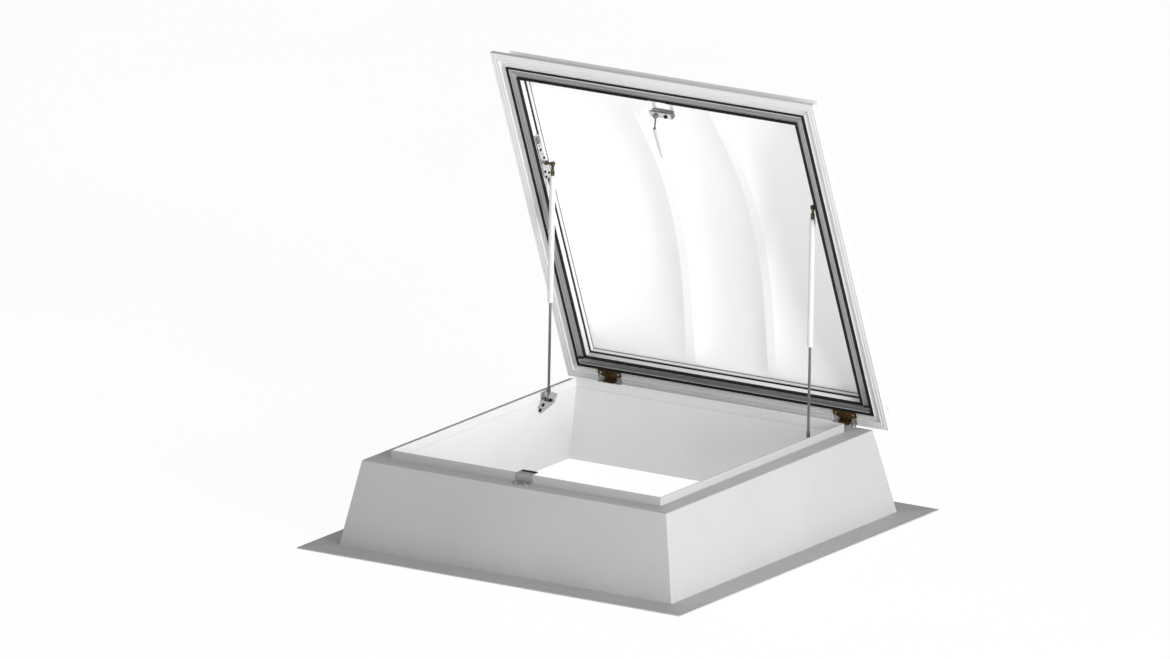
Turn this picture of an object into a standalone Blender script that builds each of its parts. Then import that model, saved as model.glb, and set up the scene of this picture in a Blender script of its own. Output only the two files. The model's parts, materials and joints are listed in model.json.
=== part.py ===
"""Flat-roof access hatch: flared kerb, hinged lid with a ribbed opal dome, gas struts and a turn handle.

Metres, +Z up. +X runs along the front edge, +Y runs from the front edge to the hinges, and the origin
is the centre of the base flange's underside. The lid is drawn closed and hangs on an empty at the hinge
axis, which turns it to its open rest pose.
"""

import math

import bmesh
import bpy
from mathutils import Euler, Matrix, Vector

# Clearances
GAP = 0.0003
RUN = 0.0004

# Kerb
FLANGE_HALF = 0.722
FLANGE_THICK = 0.004
WALL_FOOT_HALF = 0.6275
WALL_TOP_HALF = 0.574
LEDGE_Z = 0.274
SKIN = 0.003
RIM_OUTER = 0.510
RIM_INNER = 0.505
KERB_TOP = 0.300
CLEAR_BASE_HALF = 0.600

# Lid, drawn closed
LID_HALF = 0.608
LID_OPEN_DEG = 70.1
HINGE_Y = 0.604
HINGE_Z = 0.268
FLANGE_Z = 0.283
LIP_Z = 0.275
SEAM_R = 0.583
FRAME_OUTER = 0.5812
FRAME_STEP_Z = 0.2985
FRAME_NECK = 0.566
LID_OPENING = 0.521
REBATE_R = 0.545
REBATE_Z = 0.301
FRAME_TOP = 0.330
FRAME_WALL = 0.0022
DRIP_RETURN_Z = 0.2868
DRIP_THICK = 0.0025

# Gaskets, between half-sizes
OUTER_GASKET = (0.555, 0.5615)
INNER_GASKET = (0.521, 0.528)
CARRIER_THICK = 0.0034
GROOVE = 0.0012

# Dome
DOME_SKIN = 0.003
RIB_X = 0.155
RIB_RISE = 0.088
BAY_RISE = 0.118
SIDE_BULGE = 0.058
RIB_HALF_SPAN = 0.5
DOME_CELLS_BAY = 8
DOME_CELLS_Y = 12
OUTER_DOME_GROWTH = 1.1
OUTER_SKIN_HALF = 0.580

# Hinges
HINGE_X = 0.4455
KNUCKLE_R = 0.0055
PIN_R = 0.0025
LEAF_HALF = 0.0435
LEAF_THICK = 0.0025
MID_KNUCKLE_HALF = 0.0215

# Gas struts, in (y, z) at rest and closed
STRUT_X = 0.491
FOOT_BALL = Vector((0.0, 0.333, 0.270))
HEAD_BALL_CLOSED = Vector((0.0, -0.191, 0.3065))
TUBE_R = 0.0093
TUBE_WALL = 0.0012
TUBE_START = 0.037
TUBE_LENGTH = 0.409
ROD_R = 0.0043
ROD_TOP = 0.392
PISTON_LENGTH = 0.010
GLAND_LENGTH = 0.022
FOOT_FITTING = 0.042

# Latch, drawn closed
SPINDLE = Vector((-0.018, -0.4652, 0.0))
SPINDLE_R = 0.0045
BARREL_X = 0.0175
HOUSING_X = (-0.042, 0.037)
HOUSING_Y = (-0.4757, -0.4547)
HOUSING_Z = (0.2845, 0.3052)
TONGUE_Z = (0.2932, 0.2972)
TONGUE_REACH = 0.036
KEEPER_HALF = 0.0305
KEEPER_THICK = 0.002

ROUND = 16
SMALL_ROUND = 10

SIDES = {"front": 0, "right": 1, "back": 2, "left": 3}


# ---------------------------------------------------------------- scene and materials

def clear_scene():
    for item in list(bpy.data.objects):
        bpy.data.objects.remove(item, do_unlink=True)


def finish(name, colour, roughness, metallic=0.0):
    made = bpy.data.materials.get(name)
    if made:
        return made
    made = bpy.data.materials.new(name)
    made.use_nodes = True
    shader = made.node_tree.nodes["Principled BSDF"]
    shader.inputs["Base Color"].default_value = (*colour, 1.0)
    shader.inputs["Roughness"].default_value = roughness
    shader.inputs["Metallic"].default_value = metallic
    made.diffuse_color = (*colour, 1.0)
    return made


def gelcoat():
    return finish("grey_gelcoat", (0.62, 0.63, 0.62), 0.45)


def white_liner():
    return finish("white_liner", (0.84, 0.85, 0.84), 0.5)


def foam():
    return finish("insulation_foam", (0.83, 0.76, 0.5), 0.9)


def white_profile():
    return finish("white_profile", (0.82, 0.83, 0.82), 0.35)


def black_rubber():
    return finish("black_rubber", (0.02, 0.02, 0.02), 0.7)


def grey_rubber():
    return finish("grey_rubber", (0.3, 0.31, 0.31), 0.7)


def satin_aluminium():
    return finish("satin_aluminium", (0.5, 0.51, 0.51), 0.4, 0.9)


def opal_acrylic():
    return finish("opal_acrylic", (0.93, 0.94, 0.93), 0.25)


def bronze():
    return finish("dark_bronze", (0.09, 0.055, 0.02), 0.35, 0.8)


def zinc_steel():
    return finish("zinc_steel", (0.66, 0.66, 0.64), 0.35, 0.9)


def dark_steel():
    return finish("dark_steel", (0.16, 0.155, 0.14), 0.35, 0.9)


def rod_steel():
    return finish("rod_steel", (0.42, 0.42, 0.41), 0.22, 1.0)


def white_enamel():
    return finish("white_enamel", (0.87, 0.87, 0.86), 0.3)


def white_handle():
    return finish("white_handle", (0.86, 0.86, 0.85), 0.32)


# ---------------------------------------------------------------- bodies

def make_empty(name, location, angle_x=0.0, parent=None):
    empty = bpy.data.objects.new(name, None)
    empty.location = location
    empty.rotation_euler = Euler((angle_x, 0.0, 0.0))
    empty.parent = parent
    empty.empty_display_size = 0.05
    bpy.context.scene.collection.objects.link(empty)
    return empty


def add_node(name, mesh_data, material, pivot=None, origin=Vector(), smooth=False):
    bmesh.ops.remove_doubles(mesh_data, verts=mesh_data.verts, dist=1e-6)
    bmesh.ops.recalc_face_normals(mesh_data, faces=mesh_data.faces)
    bmesh.ops.translate(mesh_data, verts=mesh_data.verts, vec=-origin)
    mesh = bpy.data.meshes.new(name)
    mesh_data.to_mesh(mesh)
    mesh_data.free()
    mesh.materials.append(material)
    if smooth:
        mesh.shade_smooth()
        mesh.set_sharp_from_angle(angle=math.radians(35))
    node = bpy.data.objects.new(name, mesh)
    node.parent = pivot
    bpy.context.scene.collection.objects.link(node)
    return node


def cut(node, cutter_data, name, operation="DIFFERENCE", origin=Vector()):
    cutter = add_node(name, cutter_data, node.data.materials[0], node.parent, origin)
    cutter.hide_render = True
    cutter.display_type = "WIRE"
    step = node.modifiers.new(name, "BOOLEAN")
    step.operation = operation
    step.solver = "EXACT"
    step.object = cutter


# ---------------------------------------------------------------- shapes

def corner(index, half, z):
    signs = ((-1, -1), (1, -1), (1, 1), (-1, 1))[index]
    return Vector((signs[0] * half, signs[1] * half, z))


def bridge(data, first, second, closed=True):
    count = len(first)
    last = count if closed else count - 1
    for i in range(last):
        j = (i + 1) % count
        data.faces.new((first[i], first[j], second[j], second[i]))


def square_ring(profile):
    """A closed (half-size, z) outline carried round a square."""
    data = bmesh.new()
    loops = []
    for index in range(4):
        loops.append([data.verts.new(corner(index, r, z)) for r, z in profile])
    for index in range(4):
        bridge(data, loops[index], loops[(index + 1) % 4])
    return data


def turn_side(data, side):
    turn = Matrix.Rotation(math.radians(90) * SIDES[side], 4, "Z")
    bmesh.ops.transform(data, matrix=turn, verts=data.verts)
    return data


def mitred_bar(profile, side, core=None, short=GAP):
    """One side of a square frame, cut at 45 degrees; core is the outline of its hollow chamber."""
    data = bmesh.new()
    ends = []
    for sign in (-1, 1):
        outline = [data.verts.new((sign * (r - short), -r, z)) for r, z in profile]
        chamber = [data.verts.new((sign * (r - short), -r, z)) for r, z in core] if core else None
        ends.append((outline, chamber))
        if chamber:
            bridge(data, outline, chamber)
        else:
            data.faces.new(outline)
    bridge(data, ends[0][0], ends[1][0])
    if core:
        bridge(data, ends[0][1], ends[1][1])
    return turn_side(data, side)


def inset_outline(outline, wall):
    """The outline moved inwards by one wall thickness; the outline runs anticlockwise."""
    count = len(outline)
    moved = []
    for i in range(count):
        before = Vector(outline[i - 1])
        here = Vector(outline[i])
        after = Vector(outline[(i + 1) % count])
        into = (here - before).normalized()
        out = (after - here).normalized()
        normal_in = Vector((-into.y, into.x))
        normal_out = Vector((-out.y, out.x))
        bisector = (normal_in + normal_out).normalized()
        moved.append(tuple(here + bisector * (wall / bisector.dot(normal_in))))
    return moved


def strip(path, thick):
    """The outline of a bent sheet whose middle line is the path."""
    left = []
    right = []
    count = len(path)
    for i in range(count):
        here = Vector(path[i])
        into = (here - Vector(path[i - 1])).normalized() if i else None
        out = (Vector(path[i + 1]) - here).normalized() if i < count - 1 else None
        into = into or out
        out = out or into
        normal_in = Vector((-into.y, into.x))
        normal_out = Vector((-out.y, out.x))
        bisector = (normal_in + normal_out).normalized()
        reach = bisector * (thick / 2 / bisector.dot(normal_in))
        left.append(tuple(here + reach))
        right.append(tuple(here - reach))
    return left + right[::-1]


def prism(outline, low, high, axis="X"):
    """An outline in (y, z), (x, z) or (x, y) carried along X, Y or Z."""
    def place(point, along):
        if axis == "X":
            return (along, point[0], point[1])
        if axis == "Y":
            return (point[0], along, point[1])
        return (point[0], point[1], along)
    data = bmesh.new()
    first = [data.verts.new(place(p, low)) for p in outline]
    second = [data.verts.new(place(p, high)) for p in outline]
    data.faces.new(first)
    data.faces.new(second)
    bridge(data, first, second)
    return data


def block(low, high):
    outline = ((low[1], low[2]), (high[1], low[2]), (high[1], high[2]), (low[1], high[2]))
    return prism(outline, low[0], high[0])


def turned(profile, frame=Matrix(), steps=ROUND, ring=False):
    """A (radius, height) profile turned about the frame's Z axis; ring closes a hollow profile."""
    data = bmesh.new()
    loops = []
    for radius, height in profile:
        if radius == 0.0:
            loops.append([data.verts.new(frame @ Vector((0.0, 0.0, height)))])
            continue
        loop = []
        for step in range(steps):
            angle = math.tau * (step + 0.5) / steps
            point = Vector((radius * math.cos(angle), radius * math.sin(angle), height))
            loop.append(data.verts.new(frame @ point))
        loops.append(loop)
    pairs = list(zip(loops, loops[1:]))
    if ring:
        pairs.append((loops[-1], loops[0]))
    for first, second in pairs:
        if len(first) == 1 or len(second) == 1:
            tip, rim = (first, second) if len(first) == 1 else (second, first)
            for step in range(steps):
                data.faces.new((tip[0], rim[step], rim[(step + 1) % steps]))
        else:
            bridge(data, first, second)
    return data


def rod_profile(radius, low, high, chamfer=0.0):
    if not chamfer:
        return ((0.0, low), (radius, low), (radius, high), (0.0, high))
    return ((0.0, low), (radius - chamfer, low), (radius, low + chamfer),
            (radius, high - chamfer), (radius - chamfer, high), (0.0, high))


def along(direction, at):
    """A frame at a point whose Z axis is the direction."""
    turn = Vector((0, 0, 1)).rotation_difference(Vector(direction)).to_matrix().to_4x4()
    return Matrix.Translation(Vector(at)) @ turn


def screw_head(at, direction, radius=0.0035, height=0.0022):
    profile = ((0.0, 0.0), (radius, 0.0), (radius, height * 0.45), (radius * 0.6, height), (0.0, height))
    return turned(profile, along(direction, at), SMALL_ROUND)


def arc_points(centre, radius, start_deg, end_deg, steps):
    points = []
    for step in range(steps + 1):
        angle = math.radians(start_deg + (end_deg - start_deg) * step / steps)
        points.append((centre[0] + radius * math.cos(angle), centre[1] + radius * math.sin(angle)))
    return points


# ---------------------------------------------------------------- kerb

def wall_out(z):
    share = (LEDGE_Z - z) / (LEDGE_Z - FLANGE_THICK)
    return WALL_TOP_HALF + (WALL_FOOT_HALF - WALL_TOP_HALF) * share


def liner_in(z):
    top = LEDGE_Z - SKIN
    return RIM_INNER + (CLEAR_BASE_HALF - RIM_INNER) * (top - z) / top


def make_kerb():
    under = LEDGE_Z - SKIN
    skin = [
        (CLEAR_BASE_HALF + SKIN, 0.0),
        (FLANGE_HALF, 0.0),
        (FLANGE_HALF, FLANGE_THICK),
        (wall_out(FLANGE_THICK), FLANGE_THICK),
        (WALL_TOP_HALF, LEDGE_Z),
        (RIM_OUTER, LEDGE_Z),
        (RIM_OUTER, KERB_TOP),
        (RIM_INNER, KERB_TOP),
        (RIM_INNER, under),
        (wall_out(under) - SKIN, under),
        (wall_out(FLANGE_THICK) - SKIN, FLANGE_THICK),
        (CLEAR_BASE_HALF + SKIN, FLANGE_THICK),
    ]
    add_node("kerb_outer_skin", square_ring(skin), gelcoat())

    liner_top = under - GAP
    liner_back = SKIN - GAP
    liner = [
        (liner_in(liner_top), liner_top),
        (liner_in(0.0), 0.0),
        (liner_in(0.0) + liner_back, 0.0),
        (liner_in(liner_top) + liner_back, liner_top),
    ]
    add_node("kerb_inner_liner", square_ring(liner), white_liner())

    low = FLANGE_THICK + GAP
    high = under - GAP
    core = [
        (liner_in(low) + SKIN, low),
        (wall_out(low) - SKIN - GAP, low),
        (wall_out(high) - SKIN - GAP, high),
        (liner_in(high) + SKIN, high),
    ]
    add_node("kerb_insulation_core", square_ring(core), foam())


def make_keeper():
    half = KEEPER_THICK / 2
    foot_z = LEDGE_Z + GAP + half
    face_y = -RIM_OUTER - GAP - half
    plate_z = KERB_TOP + 0.0006 + half
    path = ((-0.545, foot_z), (face_y, foot_z), (face_y, plate_z), (-0.478, plate_z))
    keeper = prism(strip(path, KEEPER_THICK), -KEEPER_HALF, KEEPER_HALF)
    add_node("keeper_plate", keeper, zinc_steel())
    for place, x in (("left", -0.0175), ("right", 0.0175)):
        screw = screw_head((x, -0.537, foot_z + half + GAP), (0, 0, 1))
        add_node(f"keeper_screw_{place}", screw, zinc_steel(), smooth=True)


# ---------------------------------------------------------------- hinges

def hinge_frame(x):
    return Matrix.Translation((x, HINGE_Y, HINGE_Z)) @ Matrix.Rotation(math.radians(90), 4, "Y")


def knuckle_bore(x):
    return turned(rod_profile(PIN_R + RUN, -0.06, 0.06), hinge_frame(x), ROUND)


def solid_knuckle(x, low, high):
    return turned(rod_profile(KNUCKLE_R, low, high), hinge_frame(x), ROUND)


def make_kerb_leaf(side, x):
    wall = [(wall_out(z) + GAP, z) for z in (LEDGE_Z + GAP, 0.230)]
    plate = [
        (0.5685, LEDGE_Z + GAP),
        wall[0],
        wall[1],
        (wall[1][0] + LEAF_THICK, 0.230),
        (wall_out(0.2655) + GAP + LEAF_THICK, 0.2655),
        (0.5775, LEDGE_Z + 0.0022),
        (0.5685, LEDGE_Z + 0.0022),
    ]
    leaf = add_node(f"hinge_kerb_leaf_{side}", prism(plate, x - 0.042, x + 0.042), zinc_steel())
    arm = [(0.5765, 0.2640), (HINGE_Y, 0.2640), (HINGE_Y, 0.2700), (0.5765, 0.2700)]
    spans = ((-0.042, -MID_KNUCKLE_HALF - GAP), (MID_KNUCKLE_HALF + GAP, 0.042))
    for index, (low, high) in enumerate(spans):
        cut(leaf, prism(arm, x + low, x + high), f"cutter_kerb_arm_{side}_{index}", "UNION")
        cut(leaf, solid_knuckle(x, low, high), f"cutter_kerb_knuckle_{side}_{index}", "UNION")
    cut(leaf, knuckle_bore(x), f"cutter_kerb_bore_{side}")


def make_lid_leaf(side, x, lid):
    high = FLANGE_Z - GAP
    low = high - LEAF_THICK
    outline = [
        (x - LEAF_HALF, 0.5640),
        (x + LEAF_HALF, 0.5640),
        (x + LEAF_HALF, 0.5800),
        (x + MID_KNUCKLE_HALF, 0.5920),
        (x + MID_KNUCKLE_HALF, 0.5985),
        (x - MID_KNUCKLE_HALF, 0.5985),
        (x - MID_KNUCKLE_HALF, 0.5920),
        (x - LEAF_HALF, 0.5800),
    ]
    leaf = add_node(f"hinge_lid_leaf_{side}", prism(outline, low, high, "Z"), bronze(),
                    lid["pivot"], lid["origin"])
    arm = [(0.5935, low), (0.5990, 0.2655), (0.6085, 0.2700), (0.6000, high), (0.5935, high)]
    cut(leaf, prism(arm, x - MID_KNUCKLE_HALF, x + MID_KNUCKLE_HALF), f"cutter_lid_arm_{side}", "UNION",
        lid["origin"])
    cut(leaf, solid_knuckle(x, -MID_KNUCKLE_HALF, MID_KNUCKLE_HALF), f"cutter_lid_knuckle_{side}", "UNION",
        lid["origin"])
    cut(leaf, knuckle_bore(x), f"cutter_lid_bore_{side}", origin=lid["origin"])


def make_hinges(lid):
    for side, x in (("left", -HINGE_X), ("right", HINGE_X)):
        make_kerb_leaf(side, x)
        make_lid_leaf(side, x, lid)
        pin = turned(rod_profile(PIN_R, -LEAF_HALF, LEAF_HALF, 0.0006), hinge_frame(x), ROUND)
        add_node(f"hinge_pin_{side}", pin, dark_steel(), smooth=True)


# ---------------------------------------------------------------- lid

def make_lid_frame(lid):
    outline = [
        (LID_OPENING, FLANGE_Z),
        (FRAME_OUTER, FLANGE_Z),
        (FRAME_OUTER, FRAME_STEP_Z),
        (FRAME_NECK, FRAME_STEP_Z),
        (FRAME_NECK, FRAME_TOP - GAP),
        (REBATE_R, FRAME_TOP - GAP),
        (REBATE_R, REBATE_Z),
        (LID_OPENING, REBATE_Z),
    ]
    chamber = inset_outline(outline, FRAME_WALL)
    for side in SIDES:
        bar = mitred_bar(outline, side, chamber)
        add_node(f"lid_frame_{side}", bar, white_profile(), lid["pivot"], lid["origin"])


def make_drip_rim(lid):
    half = DRIP_THICK / 2
    path = [
        (SEAM_R, LIP_Z + half),
        (LID_HALF - half, LIP_Z + half),
        (LID_HALF - half, DRIP_RETURN_Z),
        (FRAME_OUTER + GAP, DRIP_RETURN_Z),
    ]
    rim = add_node("drip_rim", square_ring(strip(path, DRIP_THICK)), white_profile(),
                   lid["pivot"], lid["origin"])
    for side, x in (("left", -HINGE_X), ("right", HINGE_X)):
        notch = block((x - 0.046, SEAM_R - 0.002, LIP_Z - 0.004), (x + 0.046, 0.6052, LIP_Z + 0.0035))
        cut(rim, notch, f"cutter_hinge_notch_{side}", origin=lid["origin"])


def gasket_outline(span, top, bottom):
    """A lip seal: flat back and a half-round tip."""
    low, high = span
    radius = (high - low) / 2
    tip = arc_points(((low + high) / 2, bottom + radius), radius, 180, 360, 5)
    return [(high, top), (low, top)] + tip


def make_gaskets(lid):
    place = (lid["pivot"], lid["origin"])
    top = FLANGE_Z - GAP
    bottom = LEDGE_Z + GAP
    add_node("outer_gasket", square_ring(gasket_outline(OUTER_GASKET, top, bottom)), black_rubber(), *place)
    inner = add_node("inner_gasket", square_ring(gasket_outline(INNER_GASKET, top, bottom)),
                     black_rubber(), *place)
    relief_top = LEDGE_Z + 2 * GAP + KEEPER_THICK + 0.0008
    relief_low = (-0.034, -INNER_GASKET[1] - 0.001, LEDGE_Z - 0.002)
    relief = block(relief_low, (0.034, -INNER_GASKET[0] + 0.001, relief_top))
    cut(inner, relief, "cutter_keeper_relief", origin=lid["origin"])

    low = INNER_GASKET[1] + GAP
    high = OUTER_GASKET[0] - GAP
    face = top - CARRIER_THICK
    outline = [(low, top), (low, face)]
    for share in (0.33, 0.66):
        middle = low + (high - low) * share
        outline += [(middle - GROOVE, face), (middle, face + GROOVE), (middle + GROOVE, face)]
    outline += [(high, face), (high, top)]
    for side in SIDES:
        add_node(f"gasket_carrier_{side}", mitred_bar(outline, side), satin_aluminium(), *place)


def make_glazing_strips(lid):
    levels = (
        ("glazing_gasket", REBATE_Z + GAP, 0.3110, LID_OPENING, black_rubber()),
        ("glazing_bead", 0.3113, 0.3220, LID_OPENING - 0.0012, white_profile()),
        ("glazing_spacer", 0.3223, FRAME_TOP - GAP, LID_OPENING + 0.001, grey_rubber()),
    )
    for name, low, high, inner, material in levels:
        outer = REBATE_R - GAP
        ring = square_ring([(inner, low), (outer, low), (outer, high), (inner, high)])
        add_node(name, ring, material, lid["pivot"], lid["origin"])


# ---------------------------------------------------------------- dome

def dome_rise(x, y, half):
    """Height of the moulded dome over its flange: three bays side by side with a valley between each."""
    arch = max(0.0, 1.0 - (y / half) ** 2)
    rib = RIB_RISE * math.cos(math.pi / 2 * min(1.0, abs(y) / RIB_HALF_SPAN)) ** 2
    if abs(x) <= RIB_X:
        share = x / RIB_X
        return rib + (BAY_RISE * arch - rib) * (1 - share * share)
    middle = (half + RIB_X) / 2
    share = (abs(x) - middle) / (half - middle)
    return rib * (1 - share) / 2 + SIDE_BULGE * arch * (1 - share * share)


def dome_stations(half):
    """Grid lines across the dome, with one on each valley."""
    stations = []
    for low, high in ((-half, -RIB_X), (-RIB_X, RIB_X), (RIB_X, half)):
        for step in range(DOME_CELLS_BAY):
            stations.append(low + (high - low) * step / DOME_CELLS_BAY)
    return stations + [half]


def dome_skin(flange_low, growth, flange_half):
    """A thin moulded sheet: its flange, then the dome."""
    half = LID_OPENING
    xs = [-flange_half] + dome_stations(half) + [flange_half]
    ys = [-half + 2 * half * step / DOME_CELLS_Y for step in range(DOME_CELLS_Y + 1)]
    ys = [-flange_half] + ys + [flange_half]
    data = bmesh.new()
    sheets = []
    for lift in (0.0, DOME_SKIN):
        rows = []
        for y in ys:
            row = []
            for x in xs:
                inside = abs(x) < half and abs(y) < half
                rise = growth * dome_rise(x, y, half) if inside else 0.0
                row.append(data.verts.new((x, y, flange_low + lift + rise)))
            rows.append(row)
        sheets.append(rows)
    for rows in sheets:
        for near, far in zip(rows, rows[1:]):
            bridge(data, near, far, closed=False)
    edges = []
    for rows in sheets:
        edge = list(rows[0]) + [row[-1] for row in rows[1:]]
        edge += list(reversed(rows[-1][:-1])) + [row[0] for row in reversed(rows[1:-1])]
        edges.append(edge)
    bridge(data, edges[0], edges[1])
    return data


def make_dome(lid):
    place = (lid["pivot"], lid["origin"])
    add_node("dome_inner_skin", dome_skin(FRAME_TOP, 1.0, FRAME_NECK), opal_acrylic(), *place, True)
    tape_low = FRAME_TOP + DOME_SKIN + GAP
    tape_high = tape_low + 0.0025
    tape = [(REBATE_R, tape_low), (FRAME_NECK, tape_low), (FRAME_NECK, tape_high), (REBATE_R, tape_high)]
    add_node("dome_seal_tape", square_ring(tape), black_rubber(), *place)
    outer_low = tape_high + GAP
    outer_skin = dome_skin(outer_low, OUTER_DOME_GROWTH, OUTER_SKIN_HALF)
    add_node("dome_outer_skin", outer_skin, opal_acrylic(), *place, True)

    clamp_low = outer_low + DOME_SKIN + GAP
    clamp_half = 0.0012
    path = [(0.5420, clamp_low + clamp_half), (0.5730, clamp_low + clamp_half)]
    add_node("dome_clamp_ring", square_ring(strip(path, 2 * clamp_half)), white_profile(), *place)


# ---------------------------------------------------------------- gas struts

def make_stud(name, radius, start, end, at, lid=None):
    low, high = sorted((start, end))
    pivot = lid["pivot"] if lid else None
    origin = lid["origin"] if lid else Vector()
    stud = turned(rod_profile(radius, low, high, 0.0004), along((1, 0, 0), (0, at.y, at.z)), SMALL_ROUND)
    add_node(name, stud, dark_steel(), pivot, origin, True)


def make_kerb_brackets():
    thick = 0.0025
    face = RIM_INNER - GAP - thick / 2
    knee = LEDGE_Z - SKIN
    path = [(face, 0.296), (face, knee), (face + liner_in(0.218) - RIM_INNER, 0.218)]
    shape = [(0.310, 0.2965), (0.345, 0.2965), (0.400, 0.272), (0.396, 0.242), (0.331, 0.2190), (0.304, 0.246)]
    for side, sign in (("left", -1), ("right", 1)):
        outline = [(sign * x, z) for x, z in strip(path, thick)]
        bracket = add_node(f"strut_kerb_bracket_{side}", prism(outline, 0.300, 0.402, "Y"), zinc_steel())
        low, high = sorted((sign * 0.48, sign * 0.54))
        cut(bracket, prism(shape, low, high), f"cutter_bracket_shape_{side}", "INTERSECT")
        start = sign * (face - thick / 2 - GAP)
        make_stud(f"strut_kerb_stud_{side}", 0.0035, start, sign * (STRUT_X + 0.0056), FOOT_BALL)


def make_lid_brackets(lid):
    thick = 0.0028
    outer = LID_OPENING - 0.0012 - GAP
    shape = [(-0.305, 0.2860), (-0.300, 0.2840), (-0.150, 0.2840), (-0.138, 0.2925),
             (-0.138, 0.3080), (-0.148, 0.3165), (-0.178, 0.3165), (-0.205, 0.3090), (-0.302, 0.3030)]
    for side, sign in (("left", -1), ("right", 1)):
        low, high = sorted((sign * (outer - thick), sign * outer))
        bracket = add_node(f"strut_lid_bracket_{side}", prism(shape, low, high), white_profile(),
                           lid["pivot"], lid["origin"])
        for index, (y, z) in enumerate(((-0.227, 0.2975), (-0.262, 0.2940))):
            hole = turned(rod_profile(0.0028, 0.49, 0.55), along((sign, 0, 0), (0, y, z)), SMALL_ROUND)
            cut(bracket, hole, f"cutter_bracket_hole_{side}_{index}", origin=lid["origin"])
        start = sign * (outer - thick - GAP)
        make_stud(f"strut_lid_stud_{side}", 0.004, start, sign * (STRUT_X + 0.0063), HEAD_BALL_CLOSED, lid)


def fitting(eye_radius, eye_half, neck_radius, collar_radius, length, steps=SMALL_ROUND):
    """A ball-joint end: an eye across the strut, a neck and a hexagonal collar, as one solid."""
    data = turned(rod_profile(eye_radius, -eye_half, eye_half, 0.0008), along((1, 0, 0), (0, 0, 0)), ROUND)
    neck = turned(rod_profile(neck_radius, -length * 0.6, -eye_radius * 0.6), Matrix(), steps)
    collar = turned(rod_profile(collar_radius, -length, -length * 0.55, 0.0006), Matrix(), 6)
    return data, neck, collar


def make_fitting(name, material, pivot, lift, flip, sizes):
    """The fitting hangs below its ball at the head and stands above it at the foot."""
    turn = Matrix.Translation((0, 0, lift)) @ Matrix.Rotation(math.pi if flip else 0.0, 4, "X")
    eye, neck, collar = fitting(*sizes)
    for data in (eye, neck, collar):
        bmesh.ops.transform(data, matrix=turn, verts=data.verts)
    node = add_node(name, eye, material, pivot, smooth=True)
    cut(node, neck, f"cutter_{name}_neck", "UNION")
    cut(node, collar, f"cutter_{name}_collar", "UNION")


def make_strut(side, sign, lid):
    rest_head = lid_point(HEAD_BALL_CLOSED)
    line = rest_head - FOOT_BALL
    length = line.length
    tilt = math.atan2(-line.y, line.z)
    local = HEAD_BALL_CLOSED - lid["origin"] + Vector((sign * STRUT_X, 0, 0))
    pivot = make_empty(f"strut_pivot_{side}", local, tilt + math.radians(LID_OPEN_DEG), lid["pivot"])

    make_fitting(f"strut_top_fitting_{side}", dark_steel(), pivot, 0.0, False,
                 (0.0075, 0.0060, 0.0048, 0.0068, TUBE_START - GAP))

    bottom = -TUBE_START - TUBE_LENGTH
    bore = TUBE_R - TUBE_WALL
    tube = ((0.0, -TUBE_START), (TUBE_R - 0.001, -TUBE_START), (TUBE_R, -TUBE_START - 0.001),
            (TUBE_R, bottom), (bore, bottom), (bore, -TUBE_START - 0.008), (0.0, -TUBE_START - 0.008))
    add_node(f"strut_cylinder_{side}", turned(tube, steps=ROUND), white_enamel(), pivot, smooth=True)

    gland = ((ROD_R + RUN, bottom), (bore - GAP, bottom), (bore - GAP, bottom + GLAND_LENGTH),
             (ROD_R + RUN, bottom + GLAND_LENGTH))
    add_node(f"strut_gland_{side}", turned(gland, steps=ROUND, ring=True), black_rubber(), pivot, smooth=True)

    slide = make_empty(f"rod_slide_{side}", (0, 0, 0), 0.0, pivot)
    rod_end = -length + FOOT_FITTING
    rod = rod_profile(ROD_R, rod_end + GAP, -ROD_TOP)
    add_node(f"strut_rod_{side}", turned(rod, steps=ROUND), rod_steel(), slide, smooth=True)
    piston_low = -ROD_TOP + GAP
    piston = rod_profile(bore - RUN, piston_low, piston_low + PISTON_LENGTH, 0.001)
    add_node(f"strut_piston_{side}", turned(piston, steps=ROUND), dark_steel(), slide, smooth=True)
    make_fitting(f"strut_foot_fitting_{side}", rod_steel(), slide, -length, True,
                 (0.0070, 0.0053, 0.0045, 0.0060, FOOT_FITTING))


def lid_point(point):
    """Where a point of the closed lid lies at rest."""
    origin = Vector((0, HINGE_Y, HINGE_Z))
    return origin + Matrix.Rotation(-math.radians(LID_OPEN_DEG), 3, "X") @ (point - origin)


# ---------------------------------------------------------------- latch and handle

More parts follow.
